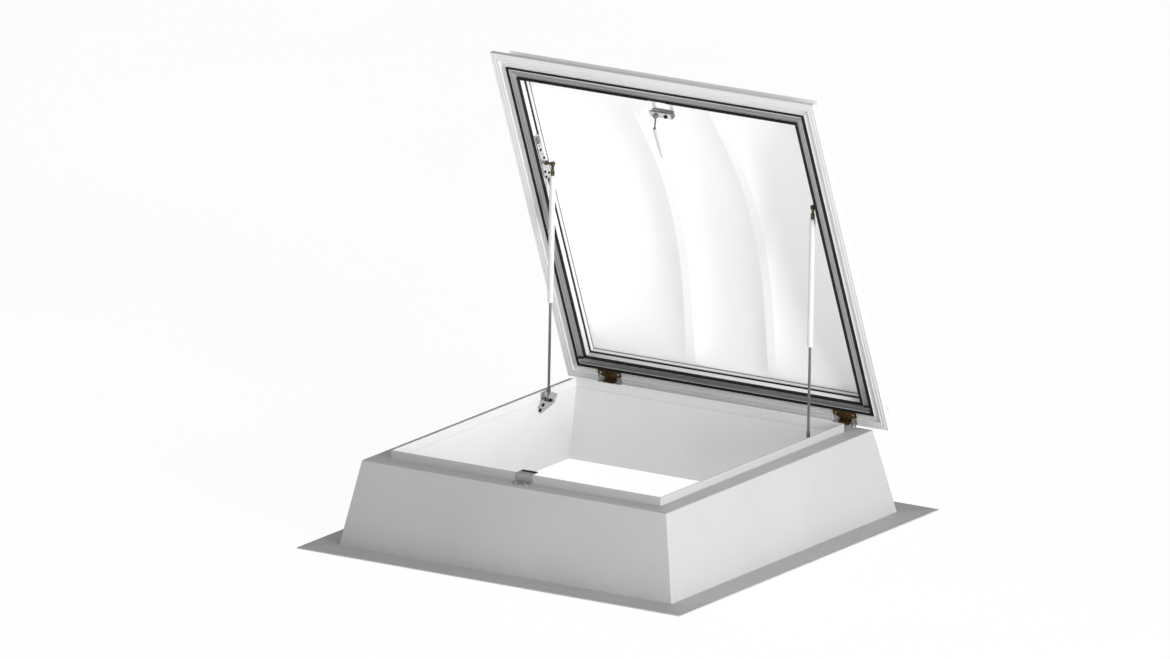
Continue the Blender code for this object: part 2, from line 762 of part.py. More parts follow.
def make_latch_body(lid):
    place = (lid["pivot"], lid["origin"])
    thick = 0.002
    wall = -(LID_OPENING - 0.0012) + GAP + thick / 2
    shelf = HOUSING_Z[1] + GAP + thick / 2
    path = ((wall, 0.2855), (wall, shelf), (HOUSING_Y[1], shelf))
    bracket = add_node("latch_bracket", prism(strip(path, thick), HOUSING_X[0], HOUSING_X[1]),
                       white_profile(), *place)
    window = block((HOUSING_X[0] + 0.013, wall + 0.006, shelf - 0.01),
                   (HOUSING_X[1] - 0.013, HOUSING_Y[0] - 0.002, shelf + 0.01))
    cut(bracket, window, "cutter_latch_window", origin=lid["origin"])

    for side, x in (("left", -0.030), ("right", 0.025)):
        screw = screw_head((x, wall + thick / 2 + GAP, 0.2925), (0, 1, 0), 0.0032)
        add_node(f"latch_screw_{side}", screw, zinc_steel(), *place, True)

    chamfer = 0.003
    low, high = HOUSING_Y
    under, over = HOUSING_Z
    outline = [(low, under + chamfer), (low + chamfer, under), (high - chamfer, under),
               (high, under + chamfer), (high, over), (low, over)]
    housing = add_node("latch_housing", prism(outline, *HOUSING_X), white_handle(), *place)
    slot = block((HOUSING_X[0] - 0.01, low - 0.01, TONGUE_Z[0] - GAP), (-0.004, high - 0.0022, TONGUE_Z[1] + GAP))
    cut(housing, slot, "cutter_tongue_slot", origin=lid["origin"])
    shaft = turned(rod_profile(SPINDLE_R + RUN, 0.27, 0.302), Matrix.Translation(SPINDLE), ROUND)
    cut(housing, shaft, "cutter_spindle_bore", origin=lid["origin"])
    barrel = turned(rod_profile(0.0064, 0.27, 0.2975), Matrix.Translation((BARREL_X, SPINDLE.y, 0)), ROUND)
    cut(housing, barrel, "cutter_barrel_bore", origin=lid["origin"])


def make_lock_barrel(lid):
    centre = Vector((BARREL_X, SPINDLE.y, 0.0))
    pivot = make_empty("lock_pivot", centre - lid["origin"], 0.0, lid["pivot"])
    barrel = turned(rod_profile(0.0060, 0.2800, 0.2970, 0.0006), Matrix(), ROUND)
    node = add_node("lock_barrel", barrel, dark_steel(), pivot, smooth=True)
    cut(node, block((-0.0008, -0.0038, 0.2790), (0.0008, 0.0038, 0.2900)), "cutter_key_slot")


def lever_outline(half_width, half_height, at, steps=8):
    points = []
    for step in range(steps):
        angle = math.tau * step / steps
        points.append(Vector((half_width * math.cos(angle), 0, half_height * math.sin(angle))) + at)
    return points


def loft(sections):
    data = bmesh.new()
    loops = []
    for points in sections:
        loops.append([data.verts.new(point) for point in points])
    for near, far in zip(loops, loops[1:]):
        bridge(data, near, far)
    data.faces.new(loops[0])
    data.faces.new(loops[-1])
    return data


def make_handle(lid):
    pivot = make_empty("handle_pivot", SPINDLE - lid["origin"], 0.0, lid["pivot"])
    spindle = turned(rod_profile(SPINDLE_R, 0.2795, 0.3015, 0.0004), Matrix(), ROUND)
    add_node("handle_spindle", spindle, zinc_steel(), pivot, smooth=True)

    half = 0.0075
    tail = arc_points((0, 0), half, -90, 90, 6)
    tip = arc_points((-TONGUE_REACH + half, 0), half, 90, 270, 6)
    outline = tail + tip
    tongue = add_node("locking_tongue", prism(outline, TONGUE_Z[0], TONGUE_Z[1], "Z"), zinc_steel(), pivot)
    bore = turned(rod_profile(SPINDLE_R + RUN, 0.28, 0.31), Matrix(), ROUND)
    cut(tongue, bore, "cutter_tongue_bore")

    hub = turned(rod_profile(0.0085, 0.2725, HOUSING_Z[0] - GAP, 0.0008), Matrix(), ROUND)
    arm = add_node("handle_arm", hub, dark_steel(), pivot, smooth=True)
    socket = turned(rod_profile(SPINDLE_R + RUN, 0.2792, 0.30), Matrix(), ROUND)
    cut(arm, socket, "cutter_arm_socket")
    stations = ((0.000, 0.0, 0.2760), (0.014, -0.0015, 0.2745), (0.028, -0.0040, 0.2705), (0.041, -0.0056, 0.2675))
    web = loft([lever_outline(0.0036, 0.0030, Vector((x, y, z))) for y, x, z in stations])
    cut(arm, web, "cutter_arm_web", "UNION")

    grip_sections = ((0.0413, 0.0052, 0.0045), (0.046, 0.0078, 0.0058), (0.060, 0.0085, 0.0060),
                     (0.100, 0.0066, 0.0048), (0.138, 0.0046, 0.0036), (0.146, 0.0026, 0.0022))
    start = grip_sections[0][0]
    reach = grip_sections[-1][0] - start
    sections = []
    for y, width, height in grip_sections:
        share = (y - start) / reach
        middle = Vector((-0.0056 + 0.0076 * share, y, 0.2672 - 0.0050 * share))
        sections.append(lever_outline(width, height, middle, 10))
    add_node("handle_grip", loft(sections), white_handle(), pivot, smooth=True)


# ---------------------------------------------------------------- assembly

def main():
    clear_scene()
    make_kerb()
    make_keeper()
    make_kerb_brackets()

    origin = Vector((0.0, HINGE_Y, HINGE_Z))
    lid = {"origin": origin, "pivot": make_empty("lid_pivot", origin, -math.radians(LID_OPEN_DEG))}
    make_hinges(lid)
    make_lid_frame(lid)
    make_drip_rim(lid)
    make_gaskets(lid)
    make_glazing_strips(lid)
    make_dome(lid)
    make_lid_brackets(lid)
    for side, sign in (("left", -1), ("right", 1)):
        make_strut(side, sign, lid)
    make_latch_body(lid)
    make_lock_barrel(lid)
    make_handle(lid)


main()
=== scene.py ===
"""Flat-roof access hatch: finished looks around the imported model.

Metres, +Z up. +X runs along the front edge and +Y from the front edge to the hinges. Lid pieces are drawn
closed and then turned about the hinge line to the open rest pose. A half-size is a distance from the centre
of the square frames to one of their sides.
"""

import json
import math
from functools import cached_property

import bmesh
import bpy
from mathutils import Matrix, Vector


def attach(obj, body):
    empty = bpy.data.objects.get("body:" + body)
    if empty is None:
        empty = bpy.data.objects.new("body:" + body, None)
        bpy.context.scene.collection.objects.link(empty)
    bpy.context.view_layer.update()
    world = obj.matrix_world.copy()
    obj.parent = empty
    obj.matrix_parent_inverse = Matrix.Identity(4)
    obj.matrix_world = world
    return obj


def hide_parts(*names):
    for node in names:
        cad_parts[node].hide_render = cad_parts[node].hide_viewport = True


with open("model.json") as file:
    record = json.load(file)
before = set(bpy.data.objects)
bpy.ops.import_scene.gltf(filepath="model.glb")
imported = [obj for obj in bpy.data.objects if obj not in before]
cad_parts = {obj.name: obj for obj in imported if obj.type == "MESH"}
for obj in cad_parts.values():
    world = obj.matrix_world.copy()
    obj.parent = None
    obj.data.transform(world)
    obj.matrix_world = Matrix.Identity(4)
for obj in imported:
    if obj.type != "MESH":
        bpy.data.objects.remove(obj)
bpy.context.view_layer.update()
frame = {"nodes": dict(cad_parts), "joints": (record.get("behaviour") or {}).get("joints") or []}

GAP = 0.0003
SIDES = {"front": 0, "right": 1, "back": 2, "left": 3}


def joint(name):
    return next(item for item in frame["joints"] if item["name"] == name)


HINGE = Vector(joint("lid_hinge")["pos_m"])
OPEN_ANGLE = math.radians(joint("lid_hinge")["range_deg"][1])
OPEN = Matrix.Translation(HINGE) @ Matrix.Rotation(-OPEN_ANGLE, 4, "X") @ Matrix.Translation(-HINGE)

# Kerb
FLANGE_HALF = 0.722
FLANGE_THICK = 0.004
WALL_FOOT = 0.6275
WALL_TOP = 0.574
LEDGE_Z = 0.274
SKIN = 0.003
RIM_OUTER = 0.51
RIM_INNER = 0.505
KERB_TOP = 0.3
LINER_BASE = 0.6

# Lid, drawn closed
LID_HALF = 0.608
LIP_Z = 0.275
FLANGE_Z = 0.283
SEAM = 0.583
FRAME_OUTER = 0.5812
FRAME_STEP_Z = 0.2985
FRAME_NECK = 0.566
OPENING = 0.521
REBATE = 0.545
REBATE_Z = 0.301
FRAME_TOP = 0.33
OUTER_SEAL = (0.555, 0.5615)
INNER_SEAL = (0.521, 0.528)
HINGE_X = 0.4455

# Dome
DOME_SKIN = 0.003
RIBS = ((-0.162, -0.13), (0.146, 0.178))
RIB_RISE = 0.091
BAY_RISE = 0.118
SIDE_BULGE = 0.042
RIB_SPAN = 0.5
BAY_CELLS = 22
LONG_CELLS = 44
OUTER_GROWTH = 1.1
OUTER_HALF = 0.58

# Struts
TUBE_R = 0.0093
TUBE_BORE = TUBE_R - 0.0012
TUBE_START = 0.037
TUBE_END = 0.446
ROD_R = 0.0043
FOOT_FITTING = 0.042
STRUT_LENGTH = 0.7595
PISTON = -0.392

# Latch, drawn closed
SPINDLE = Vector((-0.018, -0.4652, 0.0))
SPINDLE_BORE = 0.0049
BARREL_X = 0.0175
HOUSING_X = (-0.042, 0.037)
HOUSING_Y = (-0.4757, -0.4547)
HOUSING_Z = (0.2845, 0.3052)


# ---- materials

class Nodes:
    """A node tree that is filled one node at a time; positions come from the piece's own space."""

    def __init__(self, tree):
        self.tree = tree

    def add(self, kind, inputs=(), **settings):
        made = self.tree.nodes.new(kind)
        for key, value in settings.items():
            setattr(made, key, value)
        for key, value in inputs:
            if isinstance(value, bpy.types.NodeSocket):
                self.tree.links.new(value, made.inputs[key])
            else:
                made.inputs[key].default_value = value
        return made

    def position(self, stretch=(1.0, 1.0, 1.0), tilt=0.0):
        where = self.add("ShaderNodeTexCoord").outputs["Object"]
        inputs = (("Vector", where), ("Rotation", (tilt, 0.0, 0.0)))
        where = self.add("ShaderNodeMapping", inputs).outputs["Vector"]
        return self.add("ShaderNodeMapping", (("Vector", where), ("Scale", stretch))).outputs["Vector"]

    @cached_property
    def where(self):
        return self.position()

    def noise(self, scale, detail, roughness=0.55, where=None):
        inputs = [("Vector", where or self.where), ("Scale", scale), ("Detail", detail),
                  ("Roughness", roughness)]
        return self.add("ShaderNodeTexNoise", inputs).outputs["Fac"]

    def cells(self, scale, output="Distance"):
        return self.add("ShaderNodeTexVoronoi", (("Vector", self.where), ("Scale", scale))).outputs[output]

    def spread(self, value, low, high, start=0.3, end=0.7):
        inputs = (("Value", value), ("From Min", start), ("From Max", end), ("To Min", low), ("To Max", high))
        return self.add("ShaderNodeMapRange", inputs).outputs["Result"]

    def patches(self, scale, detail, low, high, start=0.3, end=0.7, roughness=0.55, where=None):
        return self.spread(self.noise(scale, detail, roughness, where), low, high, start, end)

    def blend(self, share, first, second):
        """Mixes two colours, each a socket or a plain colour."""
        inputs = [(0, share)]
        for index, value in ((6, first), (7, second)):
            inputs.append((index, (*value, 1.0) if isinstance(value, tuple) else value))
        return self.add("ShaderNodeMix", inputs, data_type="RGBA").outputs[2]

    def clouds(self, base, scale, low, high, detail=4.0):
        """The base colour drifting between a darker and a lighter shade of it."""
        share = self.patches(scale, detail, 0.0, 1.0)
        return self.blend(share, shade(base, low), shade(base, high))

    def relief(self, height, strength, depth, under=None):
        inputs = [("Height", height), ("Strength", strength), ("Distance", depth)]
        if under:
            inputs.append(("Normal", under))
        return self.add("ShaderNodeBump", inputs).outputs["Normal"]


class Recipe(Nodes):
    """A Principled material whose nodes are added one by one."""

    def __init__(self, name):
        self.material = bpy.data.materials.new(name)
        self.material.use_nodes = True
        super().__init__(self.material.node_tree)

    def finish(self, colour, roughness, relief=None, **constants):
        shader = self.tree.nodes["Principled BSDF"]
        for key, socket in (("Base Color", colour), ("Roughness", roughness), ("Normal", relief)):
            if socket:
                self.tree.links.new(socket, shader.inputs[key])
        for key, value in constants.items():
            shader.inputs[key.replace("_", " ")].default_value = value
        return self.material


def shade(colour, factor):
    return tuple(min(1.0, part * factor) for part in colour)


def gelcoat(recipe):
    """Satin gelcoat: faint cloudiness, orange peel, and dust gathered low on the walls."""
    base = (0.525, 0.535, 0.53)
    colour = recipe.clouds(base, 3.0, 0.965, 1.03)
    speck = recipe.patches(90.0, 4.0, 0.0, 0.22, 0.5, 0.8, roughness=0.7)
    colour = recipe.blend(speck, colour, shade(base, 0.88))
    height = recipe.add("ShaderNodeSeparateXYZ", (("Vector", recipe.where),)).outputs["Z"]
    low = recipe.spread(height, 1.0, 0.0, 0.003, 0.035)
    runs = recipe.position((1.0, 1.0, 0.25))
    streak = recipe.patches(26.0, 5.0, 0.0, 0.35, roughness=0.65, where=runs)
    dust = recipe.add("ShaderNodeMath", ((0, low), (1, streak)), operation="MULTIPLY").outputs[0]
    colour = recipe.blend(dust, colour, (0.44, 0.435, 0.42))
    roughness = recipe.patches(14.0, 5.0, 0.36, 0.52)
    peel = recipe.relief(recipe.noise(420.0, 2.0), 0.12, 0.0006)
    waves = recipe.relief(recipe.noise(9.0, 2.0), 0.05, 0.004, peel)
    return recipe.finish(colour, roughness, waves, Specular_IOR_Level=0.4)


def liner(recipe):
    """Smooth white laminate with a trace of the glass mat under it."""
    base = (0.655, 0.665, 0.66)
    mat = recipe.cells(160.0)
    colour = recipe.clouds(base, 5.0, 0.97, 1.02)
    colour = recipe.blend(recipe.spread(mat, 0.0, 0.06, 0.1, 0.7), colour, shade(base, 0.9))
    roughness = recipe.patches(22.0, 4.0, 0.4, 0.56)
    relief = recipe.relief(mat, 0.06, 0.0008)
    relief = recipe.relief(recipe.noise(11.0, 2.0), 0.05, 0.003, relief)
    return recipe.finish(colour, roughness, relief, Specular_IOR_Level=0.35)


def foam(recipe):
    """Cut rigid foam with open cells."""
    cells = recipe.cells(420.0)
    colour = recipe.blend(recipe.spread(cells, 0.0, 1.0, 0.1, 0.6), (0.62, 0.54, 0.32), (0.86, 0.79, 0.53))
    roughness = recipe.patches(60.0, 3.0, 0.82, 0.96)
    return recipe.finish(colour, roughness, recipe.relief(cells, 0.6, 0.0012))


def profile_plastic(recipe):
    """Extruded white plastic: satin, with a fine cloud and small scuffs."""
    base = (0.76, 0.77, 0.765)
    colour = recipe.clouds(base, 7.0, 0.975, 1.02)
    scuff = recipe.patches(150.0, 6.0, 0.0, 0.3, 0.58, 0.75, roughness=0.75)
    colour = recipe.blend(scuff, colour, shade(base, 0.88))
    roughness = recipe.patches(32.0, 5.0, 0.28, 0.44)
    relief = recipe.relief(recipe.noise(520.0, 2.0), 0.08, 0.0004)
    return recipe.finish(colour, roughness, relief, Specular_IOR_Level=0.45)


def rubber(recipe, dark, light):
    """Sealing rubber with a powdery bloom."""
    colour = recipe.blend(recipe.patches(38.0, 5.0, 0.0, 1.0, 0.35, 0.75, roughness=0.7), dark, light)
    roughness = recipe.patches(60.0, 4.0, 0.55, 0.8)
    relief = recipe.relief(recipe.noise(900.0, 3.0), 0.2, 0.0004)
    return recipe.finish(colour, roughness, relief, Specular_IOR_Level=0.16)


def drawn_metal(recipe, stretch, tilt, dark, light):
    """Mill-finish aluminium with draw lines along the bar."""
    lines = recipe.noise(1.0, 4.0, 0.65, recipe.position(stretch, tilt))
    colour = recipe.blend(recipe.spread(lines, 0.0, 1.0), (dark,) * 3, (light,) * 3)
    stain = recipe.patches(18.0, 4.0, 0.0, 0.25, 0.45, 0.75)
    colour = recipe.blend(stain, colour, (0.29, 0.29, 0.285))
    roughness = recipe.spread(lines, 0.34, 0.52)
    return recipe.finish(colour, roughness, recipe.relief(lines, 0.25, 0.0006), Metallic=0.72)


def opal(recipe):
    """Opal acrylic sheet: milky and satin; a faint even glow stands for the daylight through it."""
    base = (0.9, 0.91, 0.905)
    colour = recipe.clouds(base, 2.2, 0.985, 1.015, detail=3.0)
    dust = recipe.patches(70.0, 6.0, 0.0, 0.12, 0.58, 0.8, roughness=0.75)
    colour = recipe.blend(dust, colour, shade(base, 0.9))
    roughness = recipe.patches(6.0, 4.0, 0.5, 0.62)
    relief = recipe.relief(recipe.noise(600.0, 2.0), 0.04, 0.0004)
    return recipe.finish(colour, roughness, relief, Specular_IOR_Level=0.3, Emission_Strength=0.125,
                         Emission_Color=(1.0, 1.0, 1.0, 1.0))


def plated(recipe, dark, light, rough, metallic=0.9):
    """Plated or blackened metal: crystal patches, small scratches."""
    patch = recipe.add("ShaderNodeRGBToBW", (("Color", recipe.cells(260.0, "Color")),)).outputs["Val"]
    colour = recipe.blend(recipe.spread(patch, 0.0, 1.0, 0.1, 0.9), dark, light)
    scratch = recipe.noise(1.0, 3.0, 0.6, recipe.position((900.0, 60.0, 300.0)))
    colour = recipe.blend(recipe.spread(scratch, 0.0, 0.4, 0.55, 0.8), colour, light)
    roughness = recipe.patches(120.0, 4.0, *rough)
    return recipe.finish(colour, roughness, recipe.relief(scratch, 0.12, 0.0003), Metallic=metallic)


def ground_rod(recipe):
    """Fine grinding rings across the rod."""
    rings = recipe.noise(1.0, 2.0, 0.5, recipe.position((20.0, 20.0, 2600.0)))
    colour = recipe.blend(recipe.spread(rings, 0.0, 1.0), (0.12, 0.12, 0.115), (0.24, 0.24, 0.23))
    roughness = recipe.spread(rings, 0.16, 0.28)
    return recipe.finish(colour, roughness, recipe.relief(rings, 0.08, 0.0002), Metallic=1.0)


def enamel(recipe, base, low, high):
    """Sprayed or moulded white with a slight texture."""
    colour = recipe.clouds(base, 30.0, 0.97, 1.02)
    roughness = recipe.patches(80.0, 4.0, low, high)
    relief = recipe.relief(recipe.noise(700.0, 2.0), 0.1, 0.0004)
    return recipe.finish(colour, roughness, relief, Coat_Weight=0.15, Coat_Roughness=0.2)


RECIPES = {
    "grey_gelcoat": (gelcoat,),
    "white_liner": (liner,),
    "insulation_foam": (foam,),
    "white_profile": (profile_plastic,),
    "black_rubber": (rubber, (0.008, 0.008, 0.008), (0.022, 0.022, 0.021)),
    "grey_rubber": (rubber, (0.2, 0.205, 0.205), (0.29, 0.295, 0.295)),
    "satin_aluminium": (drawn_metal, (2.0, 240.0, 240.0), 0.0, 0.19, 0.5),
    # The side copy turns its draw lines along the side bars and is lighter than the front and back copy:
    # painted light, since all four carriers are the same metal.
    "satin_aluminium_side_painted_lighter": (drawn_metal, (240.0, 2.0, 240.0), OPEN_ANGLE, 0.32, 0.6),
    "opal_acrylic": (opal,),
    "zinc_steel": (plated, (0.42, 0.425, 0.42), (0.74, 0.74, 0.72), (0.2, 0.4)),
    "dark_bronze": (plated, (0.022, 0.012, 0.004), (0.2, 0.115, 0.035), (0.24, 0.42), 0.8),
    "dark_steel": (plated, (0.02, 0.018, 0.014), (0.17, 0.14, 0.085), (0.22, 0.4)),
    "rod_steel": (ground_rod,),
    "blackened": (plated, (0.006, 0.006, 0.006), (0.03, 0.03, 0.029), (0.3, 0.5)),
    "grey_steel": (plated, (0.13, 0.13, 0.128), (0.3, 0.3, 0.295), (0.24, 0.4)),
    "white_enamel": (enamel, (0.7, 0.705, 0.7), 0.26, 0.38),
    "white_handle": (enamel, (0.6, 0.605, 0.6), 0.3, 0.45),
}
MADE = {}


def finish(name):
    if name not in MADE:
        make, *settings = RECIPES[name]
        MADE[name] = make(Recipe(f"hatch_{name}"), *settings)
    return MADE[name]


# ---- mesh tools

def loft(loops, ring=False):
    """Skins a run of equal loops; the ends are capped unless the run closes on itself."""
    data = bmesh.new()
    made = [[data.verts.new(point) for point in loop] for loop in loops]
    pairs = list(zip(made, made[1:]))
    if ring:
        pairs.append((made[-1], made[0]))
    for near, far in pairs:
        count = len(near)
        for i in range(count):
            j = (i + 1) % count
            data.faces.new((near[i], near[j], far[j], far[i]))
    if not ring:
        data.faces.new(made[0])
        data.faces.new(made[-1])
    bmesh.ops.recalc_face_normals(data, faces=data.faces)
    return data


def to_mesh(name, data):
    mesh = bpy.data.meshes.new(name)
    data.to_mesh(mesh)
    data.free()
    return mesh


def add_object(name, data):
    made = bpy.data.objects.new(name, data)
    bpy.context.scene.collection.objects.link(made)
    return made


def merge(first, *others):
    for other in others:
        spare = to_mesh("spare", other)
        first.from_mesh(spare)
        bpy.data.meshes.remove(spare)
    return first


def moved(data, matrix):
    bmesh.ops.transform(data, matrix=matrix, verts=data.verts)
    return data


def carve(data, *cutters, operation="DIFFERENCE"):
    """The solid with each cutter taken out, or kept only inside them."""
    holders = [add_object("spare", to_mesh("spare", part)) for part in (data, *cutters)]
    for cutter in holders[1:]:
        step = holders[0].modifiers.new("carve", "BOOLEAN")
        step.operation = operation
        step.solver = "EXACT"
        step.object = cutter
    result = bmesh.new()
    result.from_object(holders[0], bpy.context.evaluated_depsgraph_get())
    for holder in holders:
        mesh = holder.data
        bpy.data.objects.remove(holder)
        bpy.data.meshes.remove(mesh)
    return result


def rounded(outline, radius, closed=True, steps=4):
    """The outline with its corners turned into arcs; radius is one number or one for each corner."""
    count = len(outline)
    points = []
    for i, corner in enumerate(outline):
        here = Vector(corner)
        reach = radius[i] if isinstance(radius, (tuple, list)) else radius
        if reach <= 0 or (not closed and i in (0, count - 1)):
            points.append(here)
            continue
        back = Vector(outline[i - 1]) - here
        ahead = Vector(outline[(i + 1) % count]) - here
        cut = min(reach / math.tan(back.angle(ahead) / 2), 0.45 * back.length, 0.45 * ahead.length)
        start = here + back.normalized() * cut
        end = here + ahead.normalized() * cut
        for step in range(steps + 1):
            t = step / steps
            points.append(start * (1 - t) ** 2 + here * (2 * t * (1 - t)) + end * t * t)
    return points


def offset_sides(path, thick):
    """The two faces of a bent sheet whose middle line is the path."""
    left = []
    right = []
    for i, point in enumerate(path):
        here = Vector(point)
        into = (here - Vector(path[i - 1])).normalized() if i else None
        out = (Vector(path[i + 1]) - here).normalized() if i < len(path) - 1 else None
        into = into or out
        out = out or into
        normal = Vector((-into.y - out.y, into.x + out.x)).normalized()
        reach = normal * (thick / 2 / normal.dot(Vector((-into.y, into.x))))
        left.append(here + reach)
        right.append(here - reach)
    return left, right


def strip(path, thick):
    left, right = offset_sides(path, thick)
    return left + right[::-1]


def sheet(path, thick, half_width):
    """A bent sheet in (y, z), carried across X; half_width gives its width at each path point."""
    left, right = offset_sides(path, thick)
    loops = []
    for near, far, half in zip(left, right, half_width):
        corners = ((-half, near), (half, near), (half, far), (-half, far))
        loops.append([Vector((x, point.x, point.y)) for x, point in corners])
    return loft(loops)


def arc(radius, start, end, steps, centre=(0.0, 0.0)):
    """Points on part of a circle, from one angle to the other in degrees."""
    points = []
    for step in range(steps + 1):
        angle = math.radians(start + (end - start) * step / steps)
        points.append((centre[0] + radius * math.cos(angle), centre[1] + radius * math.sin(angle)))
    return points


def square_loop(half, z, radius):
    """A square with rounded corners."""
    points = []
    for index, (x, y) in enumerate(((1, -1), (1, 1), (-1, 1), (-1, -1))):
        corner = arc(radius, 90 * index - 90, 90 * index, 4, (x * (half - radius), y * (half - radius)))
        points += [Vector((*point, z)) for point in corner]
    return points


def square_ring(profile, radius=0.001, outer_radius=None, outer_from=9.0):
    """A closed (half-size, z) outline carried round a square with rounded corners."""
    loops = [square_loop(half, z, outer_radius if half > outer_from else radius) for half, z in profile]
    return loft(loops, ring=True)


def bar(profile, side):
    """One mitred side of a square frame."""
    loops = [[Vector((sign * (r - GAP), -r, z)) for r, z in profile] for sign in (-1, 1)]
    return moved(loft(loops), Matrix.Rotation(math.radians(90) * SIDES[side], 4, "Z"))


def prism(outline, low, high, axis="X"):
    """An outline in (y, z), (x, z) or (x, y) carried along X, Y or Z."""
    turn = "XYZ".index(axis)
    return loft([[Vector((*point[:turn], at, *point[turn:])) for point in outline] for at in (low, high)])


def rectangle(low, high):
    return [(low[0], low[1]), (high[0], low[1]), (high[0], high[1]), (low[0], high[1])]


def block(low, high):
    return prism(rectangle(low[1:], high[1:]), low[0], high[0])


def turned(profile, place=Matrix(), steps=32, ring=False):
    """A (radius, height) profile turned about the place's Z axis."""
    start = 180 / steps
    loops = []
    for radius, height in profile:
        points = arc(radius, start, start + 360, steps)[:-1]
        loops.append([Vector((*point, height)) for point in points])
    return moved(loft(loops, ring), place)


def along(direction, at=(0, 0, 0)):
    turn = Vector((0, 0, 1)).rotation_difference(Vector(direction)).to_matrix().to_4x4()
    return Matrix.Translation(Vector(at)) @ turn


def wire(points, radius, steps):
    """A round wire along a smooth run of points; radius is a function of the share of the way along."""
    loops = []
    for i, point in enumerate(points):
        ahead = points[min(i + 1, len(points) - 1)] - points[max(i - 1, 0)]
        side = ahead.cross(Vector((1, 0, 0))).normalized()
        up = ahead.cross(side).normalized()
        ring = arc(radius(i / (len(points) - 1)), 0, 360, steps)[:-1]
        loops.append([point + side * across + up * along_up for across, along_up in ring])
    return loft(loops)


def dome_end(radius, low, high, edge):
    """A (radius, height) profile of a round bar with softened ends."""
    inner = radius - edge
    return arc(edge, -90, 0, 4, (inner, low + edge)) + arc(edge, 0, 90, 4, (inner, high - edge))


# ---- pieces

def piece(name, data, body, slot, nodes=(), edge=0.0, angle=32, look=None, closed=False):
    """Makes a piece from mesh data; closed means that it is drawn on the closed lid."""
    if closed:
        moved(data, OPEN)
    mesh = to_mesh(name, data)
    mesh.materials.append(finish(look or slot))
    mesh.shade_smooth()
    made = add_object(name, mesh)
    if edge:
        step = made.modifiers.new("edges", "BEVEL")
        step.width = edge
        step.segments = 2
        step.limit_method = "ANGLE"
        step.angle_limit = math.radians(35)
        step.harden_normals = True
    else:
        mesh.set_sharp_from_angle(angle=math.radians(angle))
    ride(made, body, nodes)
    return made


def ride(made, body, nodes):
    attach(made, body)
    if nodes:
        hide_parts(*nodes)


def lid_piece(name, data, slot, nodes=(), **settings):
    return piece(name, data, "lid", slot, nodes, closed=True, **settings)


SCREWS = {}


def screw_mesh(radius, slot):
    """A pan head with a cross recess; its seat is at height 0."""
    if (radius, slot) in SCREWS:
        return SCREWS[(radius, slot)]
    height = radius * 0.62
    head = [(radius * 0.6, 0.0), (radius, 0.0), (radius, height * 0.2)]
    for across, up in arc(1.0, 15, 75, 4):
        head.append((radius * (0.25 + 0.75 * across), height * (0.2 + 0.8 * up)))
    data = turned(head, steps=24)
    arm = radius * 0.55
    wide = radius * 0.13
    deep = height * 0.45
    data = carve(data, block((-arm, -wide, deep), (arm, wide, height * 2)),
                 block((-wide, -arm, deep), (wide, arm, height * 2)))
    mesh = to_mesh(f"screw_{slot}", data)
    mesh.materials.append(finish(slot))
    mesh.shade_smooth()
    mesh.set_sharp_from_angle(angle=math.radians(40))
    SCREWS[(radius, slot)] = mesh
    return mesh


def screw(name, at, direction, body, slot="zinc_steel", radius=0.0035, nodes=(), closed=False):
    made = add_object(name, screw_mesh(radius, slot))
    place = along(direction, at)
    made.matrix_world = OPEN @ place if closed else place
    ride(made, body, nodes)


def dress_cad_nodes():
    """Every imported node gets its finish, whether a piece stands for it or not."""
    for node in frame["nodes"].values():
        for holder in node.material_slots:
            name = holder.material.name.split(".")[0]
            if name in RECIPES:
                holder.material = finish(name)


# ---- kerb

def wall_out(z):
    return WALL_TOP + (WALL_FOOT - WALL_TOP) * (LEDGE_Z - z) / (LEDGE_Z - FLANGE_THICK)


def liner_in(z):
    top = LEDGE_Z - SKIN
    return RIM_INNER + (LINER_BASE - RIM_INNER) * (top - z) / top


def make_kerb_shell():
    under = LEDGE_Z - SKIN
    outline = [
        (LINER_BASE + SKIN, 0.0), (FLANGE_HALF, 0.0), (FLANGE_HALF, FLANGE_THICK),
        (wall_out(FLANGE_THICK), FLANGE_THICK), (WALL_TOP, LEDGE_Z), (RIM_OUTER, LEDGE_Z),
        (RIM_OUTER, KERB_TOP), (RIM_INNER, KERB_TOP), (RIM_INNER, under),
        (wall_out(under) - SKIN, under), (wall_out(FLANGE_THICK) - SKIN, FLANGE_THICK),
        (LINER_BASE + SKIN, FLANGE_THICK),
    ]
    radii = (0.0, 0.0008, 0.0014, 0.005, 0.0035, 0.0035, 0.0016, 0.0016, 0.0008, 0.0, 0.0, 0.0)
    shell = square_ring(rounded(outline, radii), 0.004, outer_radius=0.0012, outer_from=0.7)
    made = piece("kerb_shell", shell, "kerb", "grey_gelcoat", ["kerb_outer_skin"], angle=50)
    made.data.materials.append(finish("white_liner"))
    for face in made.data.polygons:
        place = face.center
        if max(abs(place.x), abs(place.y)) < RIM_INNER + 0.0003:
            face.material_index = 1


def make_kerb_liner():
    top = LEDGE_Z - SKIN - GAP
    back = SKIN - GAP
    upper, foot = liner_in(top), liner_in(0.0)
    outline = [(upper, top), (foot, 0.0), (foot + back, 0.0), (upper + back, top)]
    ring = square_ring(rounded(outline, 0.0008), 0.003)
    piece("kerb_liner", ring, "kerb", "white_liner", ["kerb_inner_liner"], angle=50)


def round_end(length, half, radius):
    """Half width at a distance from a sheet's end whose corners are rounded."""
    if length >= radius:
        return half
    return half - radius + math.sqrt(max(0.0, radius ** 2 - (radius - length) ** 2))


